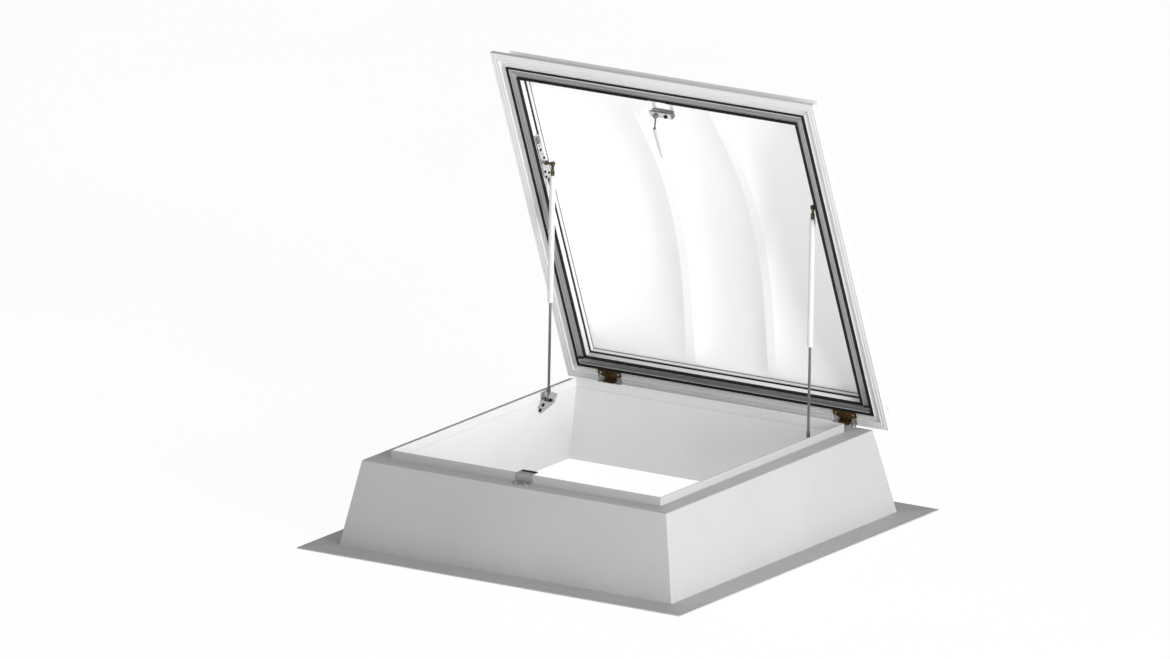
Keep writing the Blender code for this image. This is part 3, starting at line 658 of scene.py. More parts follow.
def make_keeper():
    thick = 0.002
    foot_z = LEDGE_Z + GAP + thick / 2
    face_y = -RIM_OUTER - GAP - thick / 2
    plate_z = KERB_TOP + 0.0006 + thick / 2
    foot_end = -0.545
    plate_end = -0.478
    half = 0.0305
    corners = [(foot_end, foot_z), (face_y, foot_z), (face_y, plate_z), (plate_end, plate_z)]
    bends = rounded(corners, 0.0024, closed=False)
    ends = (0.0, 0.0004, 0.0012, 0.0025, 0.0045, 0.007)
    path = [Vector((foot_end + step, foot_z)) for step in ends] + bends[1:-1]
    path += [Vector((plate_end - step, plate_z)) for step in reversed(ends)]
    widths = []
    for point in path:
        from_foot = round_end(point.x - foot_end, half, 0.007) if point.y < 0.28 else half
        from_plate = round_end(plate_end - point.x, half, 0.004) if point.y > 0.3 else half
        widths.append(min(from_foot, from_plate))
    plate = sheet(path, thick, widths)
    piece("keeper", plate, "kerb", "zinc_steel", ["keeper_plate"], edge=0.0004, look="satin_aluminium_side_painted_lighter")
    # A thin black sheet on the plate's top face stands for the dark that this face shows from a low view:
    # painted shade.
    pad_low = plate_z + thick / 2 + 0.0001
    pad = rounded(rectangle((-0.0275, plate_end - 0.018), (0.0275, plate_end - 0.002)), 0.003)
    piece("keeper_painted_shade_pad", prism(pad, pad_low, pad_low + 0.0011, "Z"), "kerb", "black_rubber", edge=0.0003)
    for side, x in (("left", -0.0175), ("right", 0.0175)):
        at = (x, -0.537, foot_z + thick / 2)
        screw(f"keeper_screw_head_{side}", at, (0, 0, 1), "kerb", radius=0.0042,
              nodes=[f"keeper_screw_{side}"])


# ---- hinges

def knuckle(x, low, high):
    """A rolled knuckle with a bore for the pin, along X."""
    edge = 0.0004
    outer = 0.0055
    bore = 0.0029
    profile = [(bore, low), (outer - edge, low), (outer, low + edge), (outer, high - edge),
               (outer - edge, high), (bore, high)]
    return turned(profile, along((1, 0, 0), (x, HINGE.y, HINGE.z)), 28, ring=True)


def make_kerb_leaf(side, x):
    thick = 0.0022
    half = 0.042
    lift = GAP + thick / 2
    top = (0.569, LEDGE_Z + lift)
    bend = (WALL_TOP + 0.0016, LEDGE_Z + lift)
    foot_z = 0.2315
    low = (wall_out(foot_z) + lift, foot_z)
    ends = (0.0, 0.0005, 0.0015, 0.003, 0.005, 0.008)
    path = [Vector(top)] + rounded([top, bend, low], 0.002, closed=False)[1:-1]
    slope = (Vector(bend) - Vector(low)).normalized()
    path += [Vector(low) + slope * step for step in reversed(ends)]
    widths = [round_end((point - Vector(low)).length, half, 0.008) for point in path]
    leaf = moved(sheet(path, thick, widths), Matrix.Translation((x, 0, 0)))
    parts = []
    arm = rounded([(0.5768, 0.2645), (0.6015, 0.2632), (0.6015, 0.2702), (0.5768, 0.2702)], 0.0006)
    for low_x, high_x in ((-half, -0.0218), (0.0218, half)):
        parts.append(prism(arm, x + low_x, x + high_x))
        parts.append(knuckle(x, low_x, high_x))
    piece(f"hinge_kerb_plate_{side}", merge(leaf, *parts), "kerb", "zinc_steel",
          [f"hinge_kerb_leaf_{side}"], edge=0.0003)
    for index, shift in enumerate((-0.03, 0.0, 0.03)):
        z = 0.243
        normal = Vector((0, LEDGE_Z - FLANGE_THICK, WALL_FOOT - WALL_TOP)).normalized()
        at = Vector((x + shift, wall_out(z) + lift + thick / 2, z))
        screw(f"hinge_kerb_screw_{side}_{index}", at, normal, "kerb", radius=0.0034)


def make_lid_leaf(side, x):
    high = FLANGE_Z - GAP
    low = high - 0.0025
    half = 0.0435
    right = [(half, 0.564), (half, 0.5815), (0.034, 0.585), (0.0215, 0.5925), (0.0215, 0.5985)]
    outline = [(-half, 0.564)] + right + [(-across, y) for across, y in right[:0:-1]]
    plate = prism(rounded(outline, 0.0018), low, high, "Z")
    ribs = []
    for shift in (-0.0125, 0.0125):
        rib = rounded([(0.5715, low + 0.0004), (0.595, low + 0.0004), (0.5935, low - 0.0016),
                       (0.5735, low - 0.0012)], 0.0006)
        ribs.append(prism(rib, shift - 0.0016, shift + 0.0016))
    arm = rounded([(0.5935, low), (0.599, 0.2656), (0.6083, 0.27), (0.6, high), (0.5935, high)], 0.0008)
    ribs.append(prism(arm, -0.0214, 0.0214))
    data = moved(merge(plate, *ribs), Matrix.Translation((x, 0, 0)))
    data = merge(data, knuckle(x, -0.0214, 0.0214))
    lid_piece(f"hinge_lid_plate_{side}", data, "dark_bronze", [f"hinge_lid_leaf_{side}"], edge=0.0003)
    for index, shift in enumerate((-0.033, 0.033)):
        screw(f"hinge_lid_screw_{side}_{index}", (x + shift, 0.5752, low), (0, 0, -1), "lid", radius=0.0036,
              closed=True)


def make_hinges():
    for side, x in (("left", -HINGE_X), ("right", HINGE_X)):
        make_kerb_leaf(side, x)
        make_lid_leaf(side, x)
        pin = turned(dome_end(0.0025, -0.0434, 0.0434, 0.0007), along((1, 0, 0), (x, HINGE.y, HINGE.z)), 24)
        piece(f"hinge_pin_rod_{side}", pin, "kerb", "dark_steel", [f"hinge_pin_{side}"], angle=50)


# ---- lid frame and seals

def groove(at, half, deep, face):
    return [(at - half, face), (at, face + deep), (at + half, face)]


def make_lid_bars():
    rib_z = FLANGE_Z - 0.005
    outline = [(OPENING, FLANGE_Z), (0.5618, FLANGE_Z), (0.5618, rib_z), (0.5636, rib_z), (0.5638, FLANGE_Z)]
    outline += groove(0.5735, 0.0008, 0.0008, FLANGE_Z)
    outline += [(FRAME_OUTER, FLANGE_Z), (FRAME_OUTER, FRAME_STEP_Z), (FRAME_NECK, FRAME_STEP_Z),
                (FRAME_NECK, FRAME_TOP - GAP), (REBATE, FRAME_TOP - GAP), (REBATE, REBATE_Z),
                (OPENING, REBATE_Z)]
    radii = (0.0008, 0.0, 0.0004, 0.0006, 0.0006, 0.0, 0.0, 0.0, 0.0004, 0.0012, 0.001, 0.0008, 0.0006,
             0.0006, 0.0008)
    profile = rounded(outline, radii, steps=3)
    relief = block((-HINGE_X - 0.0445, 0.56, FLANGE_Z - 0.006), (-HINGE_X + 0.0445, 0.565, FLANGE_Z - 0.0002))
    for side in SIDES:
        data = bar(profile, side)
        if side == "back":
            shifted = moved(relief.copy(), Matrix.Translation((2 * HINGE_X, 0, 0)))
            data = carve(data, relief, shifted)
        lid_piece(f"lid_bar_{side}", data, "white_profile", [f"lid_frame_{side}"], angle=50)


def make_rim():
    outline = [(SEAM, LIP_Z)] + groove(0.5895, 0.0012, 0.0012, LIP_Z) + groove(0.601, 0.0008, 0.0006, LIP_Z)
    outline += [(LID_HALF, LIP_Z), (LID_HALF, 0.288), (FRAME_OUTER + GAP, 0.288), (FRAME_OUTER + GAP, 0.2855),
                (LID_HALF - 0.0025, 0.2855), (LID_HALF - 0.0025, LIP_Z + 0.0025),
                (SEAM + 0.002, LIP_Z + 0.0025), (SEAM + 0.0005, FLANGE_Z + 0.0004),
                (FRAME_OUTER + GAP, FLANGE_Z + 0.0004),
                (FRAME_OUTER + GAP, FLANGE_Z - 0.0012), (SEAM - 0.0012, FLANGE_Z - 0.0012)]
    radii = (0.001, 0.0, 0.0, 0.0, 0.0, 0.0, 0.0, 0.0012, 0.0014, 0.0006, 0.0006, 0.0006, 0.0006, 0.0004,
             0.0, 0.0, 0.0, 0.0004)
    ring = square_ring(rounded(outline, radii, steps=3), 0.0016)
    notches = []
    for x in (-HINGE_X, HINGE_X):
        notches.append(block((x - 0.046, SEAM - 0.002, LIP_Z - 0.004), (x + 0.046, 0.6052, FLANGE_Z + 0.001)))
    lid_piece("lid_rim", carve(ring, *notches), "white_profile", ["drip_rim"], angle=50)


def seal_profile(low, high, top, bottom):
    """A twin-lip seal: flat back, straight sides, a shallow channel between its lips."""
    wide = high - low
    outline = [(high, top), (low, top), (low, bottom + 0.0008), (low + wide * 0.22, bottom),
               (low + wide * 0.42, bottom + 0.0009), (low + wide * 0.58, bottom + 0.0009),
               (high - wide * 0.22, bottom), (high, bottom + 0.0008)]
    return rounded(outline, (0.0004, 0.0004, 0.0008, 0.0008, 0.0006, 0.0006, 0.0008, 0.0008), steps=3)


def make_seals():
    top = FLANGE_Z - GAP
    bottom = LEDGE_Z + GAP
    outer = square_ring(seal_profile(*OUTER_SEAL, top, bottom), 0.0012)
    lip = rounded([(0.5556, bottom + 0.0006), (0.5556, bottom + 0.003), (0.552, bottom + 0.0026),
                   (0.5515, bottom + 0.0006)], 0.0005)
    lips = [bar(lip, side) for side in ("right", "back", "left")]
    lid_piece("outer_seal", merge(outer, *lips), "black_rubber", ["outer_gasket"], angle=60)
    inner = square_ring(seal_profile(*INNER_SEAL, top, bottom), 0.0012)
    relief = block((-0.034, -0.529, LEDGE_Z - 0.002), (0.034, -0.52, LEDGE_Z + 0.0034))
    inner = carve(inner, relief)
    tails = []
    tail = rounded(rectangle((0.5264, bottom + 0.0001), (0.5326, 0.2789)), 0.0022)
    for low, high in ((-0.5595, -0.5318), (0.5318, 0.5595)):
        tails.append(prism(tail, low, high))
    lid_piece("inner_seal", merge(inner, *tails), "black_rubber", ["inner_gasket"], angle=60)


def make_carriers():
    """Drawn metal strips between the seals, with draw lines along each bar and a white outer lip. The side
    bars carry a lighter copy of the same metal: painted light.
    """
    top = FLANGE_Z - GAP
    face = top - 0.0034
    low = INNER_SEAL[1] + GAP
    high = OUTER_SEAL[0] - GAP
    outline = [(low, top), (low, face + 0.0006), (low + 0.0016, face + 0.0006), (low + 0.0022, face + 0.0016)]
    outline += [(low + 0.008, face + 0.0016), (low + 0.0088, face), (low + 0.0128, face),
                (low + 0.0136, face + 0.0014)]
    outline += [(high - 0.0048, face + 0.0014), (high - 0.004, face - 0.0012), (high, face - 0.0012),
                (high, top)]
    for side in SIDES:
        look = "satin_aluminium" if side in ("front", "back") else "satin_aluminium_side_painted_lighter"
        data = bar(outline, side)
        for face in data.faces:
            middle = face.calc_center_median()
            if max(abs(middle.x), abs(middle.y)) > high - 0.0042:
                face.material_index = 1
        made = lid_piece(f"seal_carrier_{side}", data, "satin_aluminium", [f"gasket_carrier_{side}"],
                         edge=0.0003, look=look)
        made.data.materials.append(finish("white_profile"))


def make_glazing():
    levels = (
        ("glazing_seal", "glazing_gasket", REBATE_Z + GAP, 0.311, OPENING, "black_rubber", 0.002),
        ("glazing_strip", "glazing_bead", 0.3113, 0.322, OPENING - 0.0012, "white_profile", 0.0024),
        ("glazing_packer", "glazing_spacer", 0.3223, FRAME_TOP - GAP, OPENING + 0.001, "grey_rubber", 0.0014),
    )
    for name, node, low, high, inner, slot, radius in levels:
        outer = REBATE - GAP
        outline = rounded(rectangle((inner, low), (outer, high)), (radius, 0.0, 0.0, radius))
        lid_piece(name, square_ring(outline, 0.001), slot, [node], angle=60)


# ---- dome

def dome_rise(x, y, half):
    """Height of the moulded dome over its flange: three bays, with a low flat rib between each two."""
    arch = max(0.0, 1.0 - (y / half) ** 2)
    rib = RIB_RISE * max(0.0, 1.0 - (y / RIB_SPAN) ** 2) ** 1.3
    (left, mid_left), (mid_right, right) = RIBS
    if left <= x <= mid_left or mid_right <= x <= right:
        return rib
    if mid_left < x < mid_right:
        share = (x - (mid_left + mid_right) / 2) / ((mid_right - mid_left) / 2)
        return rib + (BAY_RISE * arch - rib) * (1 - abs(share) ** 3)
    inner = right if x > 0 else -left
    middle = (half + inner) / 2
    share = (abs(x) - middle) / (half - middle)
    return rib * (1 - max(0.0, (1 + share) / 2) ** 3) + SIDE_BULGE * arch * (1 - abs(share) ** 3)


def dome_grid(flange_half):
    stations = [-flange_half]
    turns = (-OPENING, *RIBS[0], *RIBS[1], OPENING)
    for low, high in zip(turns, turns[1:]):
        cells = 2 if high - low < 0.05 else BAY_CELLS
        for step in range(cells):
            stations.append(low + (high - low) * step / cells)
    stations += [OPENING, flange_half]
    across = [-OPENING * math.cos(math.pi * step / LONG_CELLS) for step in range(LONG_CELLS + 1)]
    return stations, [-flange_half, *across, flange_half]


def dome_skin(flange_low, growth, flange_half):
    """One moulded sheet with its flange, as a grid of cells on both faces."""
    xs, ys = dome_grid(flange_half)
    data = bmesh.new()
    layers = []
    for lift in (0.0, DOME_SKIN):
        rows = []
        for y in ys:
            row = []
            for x in xs:
                inside = abs(x) < OPENING and abs(y) < OPENING
                rise = growth * dome_rise(x, y, OPENING) if inside else 0.0
                row.append(data.verts.new((x, y, flange_low + lift + rise)))
            rows.append(row)
        for near, far in zip(rows, rows[1:]):
            for i in range(len(near) - 1):
                data.faces.new((near[i], near[i + 1], far[i + 1], far[i]))
        edge = rows[0] + [row[-1] for row in rows[1:]] + rows[-1][-2::-1] + [row[0] for row in rows[-2:0:-1]]
        layers.append(edge)
    count = len(layers[0])
    for i in range(count):
        j = (i + 1) % count
        data.faces.new((layers[0][i], layers[0][j], layers[1][j], layers[1][i]))
    bmesh.ops.recalc_face_normals(data, faces=data.faces)
    return data


def make_dome_skin(name, node, flange_low, growth, flange_half):
    """A skin whose creases on both sides of each rib stay crisp."""
    made = lid_piece(name, dome_skin(flange_low, growth, flange_half), "opal_acrylic", [node], angle=30)
    for edge in made.data.edges:
        ends = [made.data.vertices[index].co for index in edge.vertices]
        if all(any(abs(end.x - x) < 1e-5 for rib in RIBS for x in rib) for end in ends):
            edge.use_edge_sharp = abs(ends[0].x - ends[1].x) < 1e-5


def make_dome():
    tape_low = FRAME_TOP + DOME_SKIN + GAP
    tape_high = tape_low + 0.0025
    outer_low = tape_high + GAP
    clamp_low = outer_low + DOME_SKIN + GAP
    make_dome_skin("dome_inner", "dome_inner_skin", FRAME_TOP, 1.0, FRAME_NECK)
    make_dome_skin("dome_outer", "dome_outer_skin", outer_low, OUTER_GROWTH, OUTER_HALF)
    tape = rounded(rectangle((REBATE, tape_low), (FRAME_NECK, tape_high)), 0.0006)
    lid_piece("dome_tape", square_ring(tape, 0.001), "black_rubber", ["dome_seal_tape"], angle=60)
    clamp_inner, clamp_outer = 0.542, 0.573
    clamp_high = clamp_low + 0.0024
    clamp = rounded(rectangle((clamp_inner, clamp_low), (clamp_outer, clamp_high)), 0.0008)
    lid_piece("dome_clamp", square_ring(clamp, 0.002), "white_profile", ["dome_clamp_ring"], angle=50)
    middle = (clamp_inner + clamp_outer) / 2
    for side, turns in SIDES.items():
        spin = Matrix.Rotation(math.radians(90) * turns, 3, "Z")
        for index, shift in enumerate((-0.45, -0.27, -0.09, 0.09, 0.27, 0.45)):
            at = spin @ Vector((shift, -middle, clamp_high))
            screw(f"clamp_screw_{side}_{index}", at, (0, 0, 1), "lid", radius=0.0042, closed=True)


# ---- gas struts

def cross_holes(sign, start, radius, reach, spots):
    """Round cutters along X through the (y, z) spots."""
    profile = ((radius, -0.02), (radius, reach))
    return [turned(profile, along((sign, 0, 0), (sign * start, y, z)), 20) for y, z in spots]


def make_kerb_bracket(side, sign):
    thick = 0.0025
    face = RIM_INNER - GAP - thick / 2
    knee = LEDGE_Z - SKIN
    foot = (face + liner_in(0.217) - RIM_INNER, 0.217)
    path = rounded([(face, 0.297), (face, knee), foot], 0.004, closed=False)
    bent = prism([(sign * point.x, point.y) for point in strip(path, thick)], 0.298, 0.404, "Y")
    shape = rounded([(0.31, 0.2965), (0.345, 0.2965), (0.4, 0.272), (0.396, 0.242), (0.331, 0.219),
                     (0.304, 0.246)], 0.006)
    low, high = sorted((sign * 0.48, sign * 0.54))
    holes = cross_holes(sign, 0.48, 0.0026, 0.08, ((0.372, 0.268), (0.376, 0.249)))
    data = carve(bent, prism(shape, low, high), operation="INTERSECT")
    piece(f"strut_kerb_plate_{side}", carve(data, *holes), "kerb", "zinc_steel",
          [f"strut_kerb_bracket_{side}"], edge=0.0004)
    for index, (y, z) in enumerate(((0.328, 0.252), (0.319, 0.236))):
        lean = Vector((-sign * (LEDGE_Z - SKIN), 0, LINER_BASE - RIM_INNER)).normalized()
        surface = face + liner_in(z) - RIM_INNER
        at = Vector((sign * (surface - thick / 2), y, z))
        screw(f"strut_kerb_screw_{side}_{index}", at + lean * 0.0001, (lean.x, 0, -abs(lean.z)), "kerb",
              "blackened", 0.0066)


def make_lid_bracket(side, sign):
    thick = 0.0028
    outer = OPENING - 0.0012 - GAP
    shape = rounded([(-0.305, 0.286), (-0.3, 0.284), (-0.15, 0.284), (-0.138, 0.2925), (-0.138, 0.308),
                     (-0.148, 0.3165), (-0.178, 0.3165), (-0.205, 0.309), (-0.302, 0.303)], 0.0025)
    low, high = sorted((sign * (outer - thick), sign * outer))
    holes = cross_holes(sign, outer, 0.0028, 0.04, ((-0.229, 0.2985), (-0.262, 0.294)))
    data = carve(prism(shape, low, high), *holes)
    pad = rounded([(-0.298, 0.2885), (-0.272, 0.2875), (-0.272, 0.3), (-0.296, 0.2995)], 0.002)
    lid_piece(f"strut_lid_plate_{side}", data, "zinc_steel", [f"strut_lid_bracket_{side}"], edge=0.0004)
    low, high = sorted((sign * (outer - thick - GAP), sign * (outer - thick - 0.0028)))
    lid_piece(f"strut_lid_pad_{side}", prism(pad, low, high), "dark_steel", edge=0.0005, look="grey_steel")
    spots = ((-0.152, 0.3095), (-0.147, 0.2925), (-0.166, 0.2925), (-0.212, 0.3035), (-0.246, 0.2955))
    for index, (y, z) in enumerate(spots):
        at = (sign * (outer - thick), y, z)
        screw(f"strut_lid_screw_{side}_{index}", at, (-sign, 0, 0), "lid", "blackened", 0.0044, closed=True)


def hexagon(radius, low, high, place):
    """A nut or collar with its corners broken."""
    profile = [(radius * 0.86, low), (radius, low + 0.0007), (radius, high - 0.0007), (radius * 0.86, high)]
    return turned(profile, place, 6)


def make_stud(side, sign, name, node, body, at, radius, start, end, closed=False):
    place = along((sign, 0, 0), (0, at[0], at[1]))
    shaft = turned(dome_end(radius, end, start, 0.0005), place, 24)
    nut = hexagon(radius * 1.75, start - 0.0058, start - 0.0002, place)
    washer = turned(dome_end(radius * 1.95, start - 0.0012, start - 0.0001, 0.0003), place, 28)
    piece(f"{name}_{side}", merge(shaft, nut, washer), body, "dark_steel", [f"{node}_{side}"], angle=35,
          closed=closed)


def socket(eye_radius, eye_half, neck_radius, collar_radius, length):
    """A ball socket across the strut, its neck and its hexagonal collar; it hangs below its ball."""
    eye = turned(dome_end(eye_radius, -eye_half, eye_half, 0.0014), along((1, 0, 0)), 32)
    neck = turned([(neck_radius, -length * 0.62), (neck_radius, -eye_radius * 1.25),
                   (neck_radius * 1.25, -eye_radius * 0.7), (neck_radius * 1.25, -eye_radius * 0.5)],
                  steps=28)
    collar = hexagon(collar_radius, -length, -length * 0.56, Matrix())
    return merge(eye, neck, collar)


def socket_clip(eye_radius, eye_half):
    """The spring clip that keeps the ball in its socket."""
    loops = []
    for y, z in arc(eye_radius + 0.0004, -35, 215, 14):
        point = Vector((0.0, y, z))
        out = point.normalized()
        section = rectangle((-0.0016, -0.0003), (0.0016, 0.0005))
        loops.append([Vector((x, 0, 0)) + point + out * lift for x, lift in section])
    return moved(loft(loops), Matrix.Translation((eye_half * 0.35, 0, 0)))


def pivot_bolt(sign, eye_half, radius):
    """Washer and socket-head bolt on the eye's inner side."""
    start = eye_half + 0.0002
    place = along((-sign, 0, 0))
    washer = turned(dome_end(radius * 1.25, start, start + 0.0016, 0.0003), place, 28)
    head = turned(dome_end(radius, start + 0.0014, start + 0.0085, 0.0007), place, 28)
    socket_hole = turned(((radius * 0.55, start + 0.005), (radius * 0.55, start + 0.02)), place, 6)
    return merge(washer, carve(head, socket_hole))


def strut_cylinder():
    """The pressure tube: rolled shoulder, plain barrel, rolled-in mouth."""
    top = -TUBE_START
    low = -TUBE_END
    roll = 0.0022
    profile = [(0.0035, top)] + arc(roll, 90, 0, 5, (TUBE_R - roll, top - roll))
    profile += [(TUBE_R, low + 0.0205), (TUBE_R - 0.0005, low + 0.019), (TUBE_R - 0.0005, low + 0.0175),
                (TUBE_R, low + 0.016)] + arc(roll, 0, -70, 4, (TUBE_R - roll, low + roll))
    profile += [(TUBE_BORE - 0.0008, low + 0.0004), (TUBE_BORE - 0.0008, low + 0.0012)]
    profile += [(TUBE_BORE, low + 0.0022), (TUBE_BORE, top - 0.008), (0.0035, top - 0.008)]
    return profile


def make_strut(side, sign):
    swing = joint(f"strut_swing_{side}")
    place = along(joint(f"strut_slide_{side}")["axis"], swing["pos_m"])
    tube_body = f"strut_tube_{side}"
    rod_body = f"strut_rod_{side}"

    eye, eye_half = 0.0075, 0.006
    top = moved(socket(eye, eye_half, 0.0048, 0.0068, TUBE_START - GAP), place)
    piece(f"strut_head_{side}", top, tube_body, "dark_steel", [f"strut_top_fitting_{side}"], angle=35)
    piece(f"strut_head_clip_{side}", moved(socket_clip(eye, eye_half), place), tube_body, "dark_bronze")
    tube = turned(strut_cylinder(), place, 36)
    piece(f"strut_tube_{side}", tube, tube_body, "white_enamel", [f"strut_cylinder_{side}"], angle=40)
    mouth = -TUBE_END
    inner, outer = ROD_R + GAP, TUBE_BORE - GAP
    seal = [(inner, mouth + 0.0014), (TUBE_BORE - 0.0012, mouth + 0.0014), (outer, mouth + 0.003),
            (outer, mouth + 0.022), (inner, mouth + 0.022)]
    piece(f"strut_rod_seal_{side}", turned(seal, place, 32, ring=True), tube_body, "black_rubber",
          [f"strut_gland_{side}"], angle=40)

    foot = -STRUT_LENGTH
    rod = dome_end(ROD_R, foot + FOOT_FITTING + GAP, PISTON, 0.0006)
    piece(f"strut_piston_rod_{side}", turned(rod, place, 32), rod_body, "rod_steel",
          [f"strut_rod_{side}"], angle=40)
    flip = place @ Matrix.Translation((0, 0, foot)) @ Matrix.Rotation(math.pi, 4, "X")
    eye, eye_half = 0.007, 0.0053
    foot_end = moved(socket(eye, eye_half, 0.0045, 0.006, FOOT_FITTING), flip)
    piece(f"strut_foot_{side}", foot_end, rod_body, "rod_steel", [f"strut_foot_fitting_{side}"], angle=35)
    piece(f"strut_foot_clip_{side}", moved(socket_clip(eye, eye_half), flip), rod_body, "dark_steel")
    bolt = moved(pivot_bolt(sign, eye_half, 0.0046), place @ Matrix.Translation((0, 0, foot)))
    piece(f"strut_foot_bolt_{side}", bolt, rod_body, "dark_steel", look="blackened")


def make_struts():
    for side, sign in (("left", -1), ("right", 1)):
        make_kerb_bracket(side, sign)
        make_lid_bracket(side, sign)
        make_stud(side, sign, "strut_kerb_ball_stud", "strut_kerb_stud", "kerb", (0.333, 0.27), 0.0035,
                  0.5018, 0.4967)
        make_stud(side, sign, "strut_lid_ball_stud", "strut_lid_stud", "lid", (-0.191, 0.3065), 0.004,
                  0.5164, 0.4974, closed=True)
        make_strut(side, sign)


# ---- latch

def make_latch_bracket():
    thick = 0.002
    wall = -(OPENING - 0.0012) + GAP + thick / 2
    shelf = HOUSING_Z[1] + GAP + thick / 2
    corners = [(wall, 0.2855), (wall, shelf), (HOUSING_Y[1], shelf)]
    path = rounded(corners, 0.003, closed=False)
    middle = (HOUSING_X[0] + HOUSING_X[1]) / 2
    half = (HOUSING_X[1] - HOUSING_X[0]) / 2
    data = moved(sheet(path, thick, [half] * len(path)), Matrix.Translation((middle, 0, 0)))
    window = rectangle((HOUSING_X[0] + 0.013, wall + 0.006), (HOUSING_X[1] - 0.013, HOUSING_Y[0] - 0.002))
    data = carve(data, prism(rounded(window, 0.004), shelf - 0.01, shelf + 0.01, "Z"))
    lid_piece("latch_plate", data, "white_profile", ["latch_bracket"], edge=0.0004)
    for side, x in (("left", -0.03), ("right", 0.025)):
        screw(f"latch_plate_screw_{side}", (x, wall + thick / 2, 0.2925), (0, 1, 0), "lid", radius=0.0032,
              nodes=[f"latch_screw_{side}"], closed=True)


def make_latch_housing():
    low, high = HOUSING_Y
    under, over = HOUSING_Z
    outline = rounded(rectangle((low, under), (high, over)), (0.0035, 0.0035, 0.0008, 0.0008))
    housing = prism(outline, *HOUSING_X)
    slot = block((HOUSING_X[0] - 0.01, low - 0.01, 0.2929), (-0.004, high - 0.0022, 0.2975))
    shaft = turned(((SPINDLE_BORE, 0.27), (SPINDLE_BORE, 0.302)), Matrix.Translation(SPINDLE), 28)
    barrel = turned(((0.0064, 0.27), (0.0064, 0.2975)), Matrix.Translation((BARREL_X, SPINDLE.y, 0)), 28)
    data = carve(housing, slot, shaft, barrel)
    data.normal_update()
    for face in data.faces:
        face.material_index = 1 if face.normal.z < -0.6 else 0
    made = lid_piece("latch_body", data, "satin_aluminium", ["latch_housing"], edge=0.0007, look="grey_steel")
    made.data.materials.append(finish("white_enamel"))


def make_lock():
    profile = [(0.0058, 0.297), (0.006, 0.297), (0.006, 0.2838), (0.0058, 0.2832), (0.0055, 0.2801),
               (0.0046, 0.2796), (0.003, 0.28)]
    barrel = turned(profile, Matrix.Translation((BARREL_X, SPINDLE.y, 0.0)))
    keyway = block((BARREL_X - 0.0008, SPINDLE.y - 0.0036, 0.278),
                   (BARREL_X + 0.0008, SPINDLE.y + 0.0036, 0.289))
    piece("lock_cylinder", carve(barrel, keyway), "lock", "dark_steel", ["lock_barrel"], angle=35,
          closed=True, look="blackened")


def smooth_run(points, steps):
    """Points on a smooth curve through the given ones."""
    run = []
    last = len(points) - 1
    for i in range(last):
        before = points[max(i - 1, 0)]
        start, end = points[i], points[i + 1]
        after = points[min(i + 2, last)]
        for step in range(steps):
            t = step / steps
            value = 2 * start + (end - before) * t + (2 * before - 5 * start + 4 * end - after) * t ** 2
            run.append((value + (3 * start - before - 3 * end + after) * t ** 3) / 2)
    return run + [points[-1]]


def make_handle():
    place = Matrix.Translation(SPINDLE)
    spindle = turned(dome_end(0.0045, 0.2795, 0.3015, 0.0005), place, 28)
    piece("handle_shaft", spindle, "handle", "zinc_steel", ["handle_spindle"], angle=40, closed=True)

    half = 0.0074
    outline = arc(half, -90, 90, 12) + arc(half, 90, 270, 12, (half - 0.036, 0.0))
    bore = turned(((SPINDLE_BORE, 0.28), (SPINDLE_BORE, 0.31)), steps=28)
    tongue = moved(carve(prism(outline, 0.2932, 0.2972, "Z"), bore), place)
    piece("latch_tongue", tongue, "handle", "zinc_steel", ["locking_tongue"], edge=0.0003, closed=True)

    hub = turned([(0.005, 0.2726), (0.0072, 0.2727), (0.0084, 0.2742), (0.0085, 0.276), (0.0078, 0.279),
                  (0.0078, 0.28), (0.0085, 0.2806), (0.0085, 0.2838), (0.008, 0.2842), (0.0049, 0.2842)])
    knots = [Vector((0.0, 0.0, 0.2765)), Vector((-0.0008, 0.012, 0.275)), Vector((-0.0028, 0.023, 0.2718)),
             Vector((-0.0048, 0.033, 0.2688)), Vector((-0.0056, 0.0405, 0.2675))]
    web = wire(smooth_run(knots, 5), lambda share: 0.0034 - 0.0006 * share, 16)
    ball = turned(dome_end(0.005, -0.0014, 0.0014, 0.0012), along((0, 1, 0), (-0.0056, 0.0392, 0.2675)), 24)
    arm = moved(merge(hub, web, ball), place)
    piece("handle_lever", arm, "handle", "dark_steel", ["handle_arm"], angle=45, closed=True,
          look="grey_steel")
    make_grip(place)


def make_grip(place):
    """A tapered sleeve; each section is its distance out, half width and half height."""
    sections = ((0.0413, 0.0044, 0.0038), (0.043, 0.0062, 0.005), (0.047, 0.0078, 0.0057),
                (0.056, 0.0085, 0.006), (0.075, 0.0079, 0.0056), (0.1, 0.0066, 0.0048),
                (0.125, 0.0052, 0.004), (0.14, 0.0044, 0.0034), (0.145, 0.0034, 0.0027),
                (0.146, 0.0022, 0.0018))
    start, end = sections[0][0], sections[-1][0]
    round_trip = arc(1.0, 0, 360, 24)[:-1]
    loops = []
    for y, width, height in sections:
        share = (y - start) / (end - start)
        x, z = -0.0056 + 0.0076 * share, 0.2672 - 0.005 * share
        loops.append([Vector((x + width * right, y, z + height * up)) for right, up in round_trip])
    piece("handle_sleeve", moved(loft(loops), place), "handle", "white_handle", ["handle_grip"], angle=50,
          closed=True)


# ---- studio

def make_floor():
    data = bmesh.new()
    bmesh.ops.create_grid(data, x_segments=24, y_segments=24, size=220.0)
    mesh = to_mesh("studio_floor", data)
    floor = add_object("studio_floor", mesh)
    floor.location.z = -0.0004
    recipe = Recipe("studio_floor_white")
    colour = recipe.blend(recipe.patches(0.6, 3.0, 0.0, 1.0), (0.115,) * 3, (0.13,) * 3)
    roughness = recipe.patches(30.0, 3.0, 0.85, 0.95)
    material = recipe.finish(colour, roughness, Specular_IOR_Level=0.0, Emission_Strength=0.93,
                             Emission_Color=(1.0, 1.0, 1.0, 1.0))
    mesh.materials.append(material)


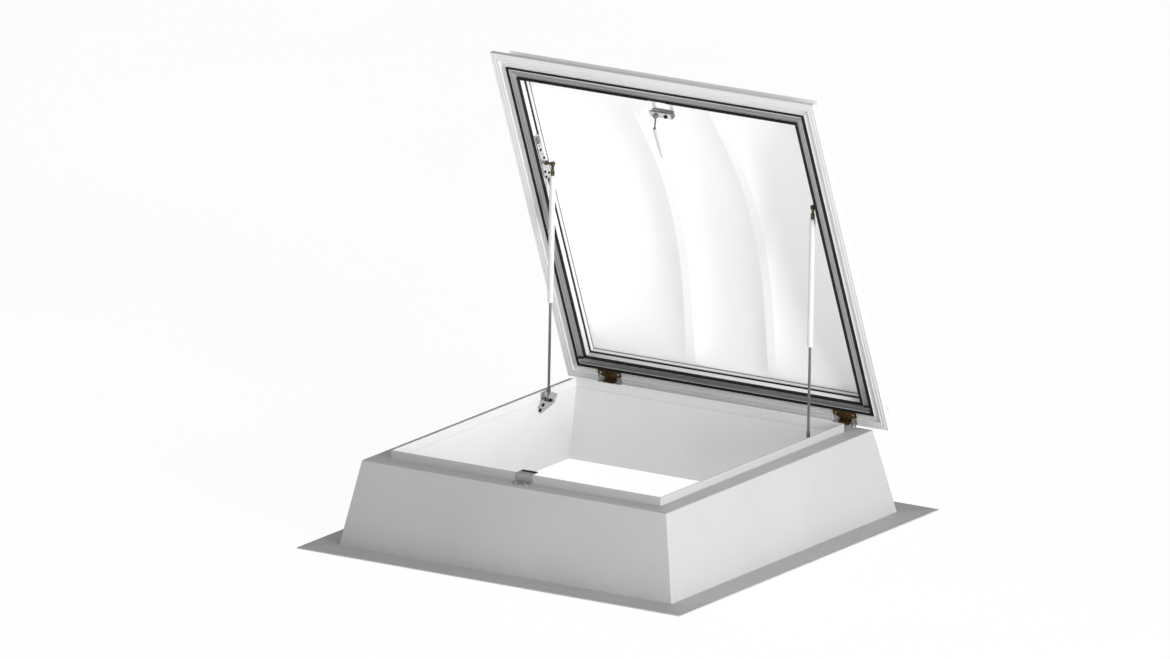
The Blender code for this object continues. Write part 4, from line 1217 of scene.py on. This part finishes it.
def make_sky():
    """An even studio, dimmer overhead than at the horizon, whose lowest band is as white as the floor."""
    world = bpy.data.worlds.new("studio")
    world.use_nodes = True
    bpy.context.scene.world = world
    nodes = Nodes(world.node_tree)
    world.node_tree.nodes.clear()
    place = nodes.add("ShaderNodeTexCoord").outputs["Generated"]
    height = nodes.add("ShaderNodeSeparateXYZ", (("Vector", place),)).outputs["Z"]
    horizon, overhead, haze = 0.52, 0.42, 0.46
    dome = nodes.spread(height, horizon, overhead, 0.05, 0.8)
    band = nodes.spread(height, haze, 0.0, 0.014, 0.02)
    total = nodes.add("ShaderNodeMath", ((0, dome), (1, band))).outputs[0]
    light = nodes.add("ShaderNodeBackground", (("Strength", total),)).outputs[0]
    nodes.add("ShaderNodeOutputWorld", (("Surface", light),))


def make_light(name, at, towards, size, power):
    data = bpy.data.lights.new(name, "AREA")
    data.shape = "RECTANGLE"
    data.size, data.size_y = size
    data.energy = power
    light = add_object(name, data)
    light.location = at
    light.rotation_mode = "QUATERNION"
    light.rotation_quaternion = (Vector(towards) - Vector(at)).to_track_quat("-Z", "Y")
    light.visible_camera = False


def make_camera():
    azimuth = math.radians(34.535)
    elevation = math.radians(15.241)
    roll = math.radians(-0.543)
    distance = 81.195
    target = Vector((-0.1748, 0.0793, 0.6035))
    back = Vector((math.sin(azimuth) * math.cos(elevation), -math.cos(azimuth) * math.cos(elevation),
                   math.sin(elevation)))
    level = Vector((0, 0, 1)).cross(back).normalized()
    up = back.cross(level)
    right = level * math.cos(roll) + up * math.sin(roll)
    up = up * math.cos(roll) - level * math.sin(roll)
    data = bpy.data.cameras.new("camera")
    data.lens = 800.0
    data.sensor_width = 36.0
    data.clip_start = 1.0
    data.clip_end = 300.0
    camera = add_object("camera", data)
    turn = Matrix((right, up, back)).transposed().to_4x4()
    camera.matrix_world = Matrix.Translation(target + back * distance) @ turn
    bpy.context.scene.camera = camera


def make_studio():
    make_floor()
    make_sky()
    make_light("key", at=(15.7, -5.6, 3.25), towards=(0.2, -0.1, 0.5), size=(7.5, 5.5), power=2480.0)
    scene = bpy.context.scene
    scene.view_settings.view_transform = "Standard"
    scene.view_settings.look = "None"


def main():
    make_camera()
    dress_cad_nodes()
    make_kerb_shell()
    make_kerb_liner()
    make_keeper()
    make_hinges()
    make_lid_bars()
    make_rim()
    make_seals()
    make_carriers()
    make_glazing()
    make_dome()
    make_struts()
    make_latch_bracket()
    make_latch_housing()
    make_lock()
    make_handle()
    make_studio()
    bpy.context.view_layer.update()


main()
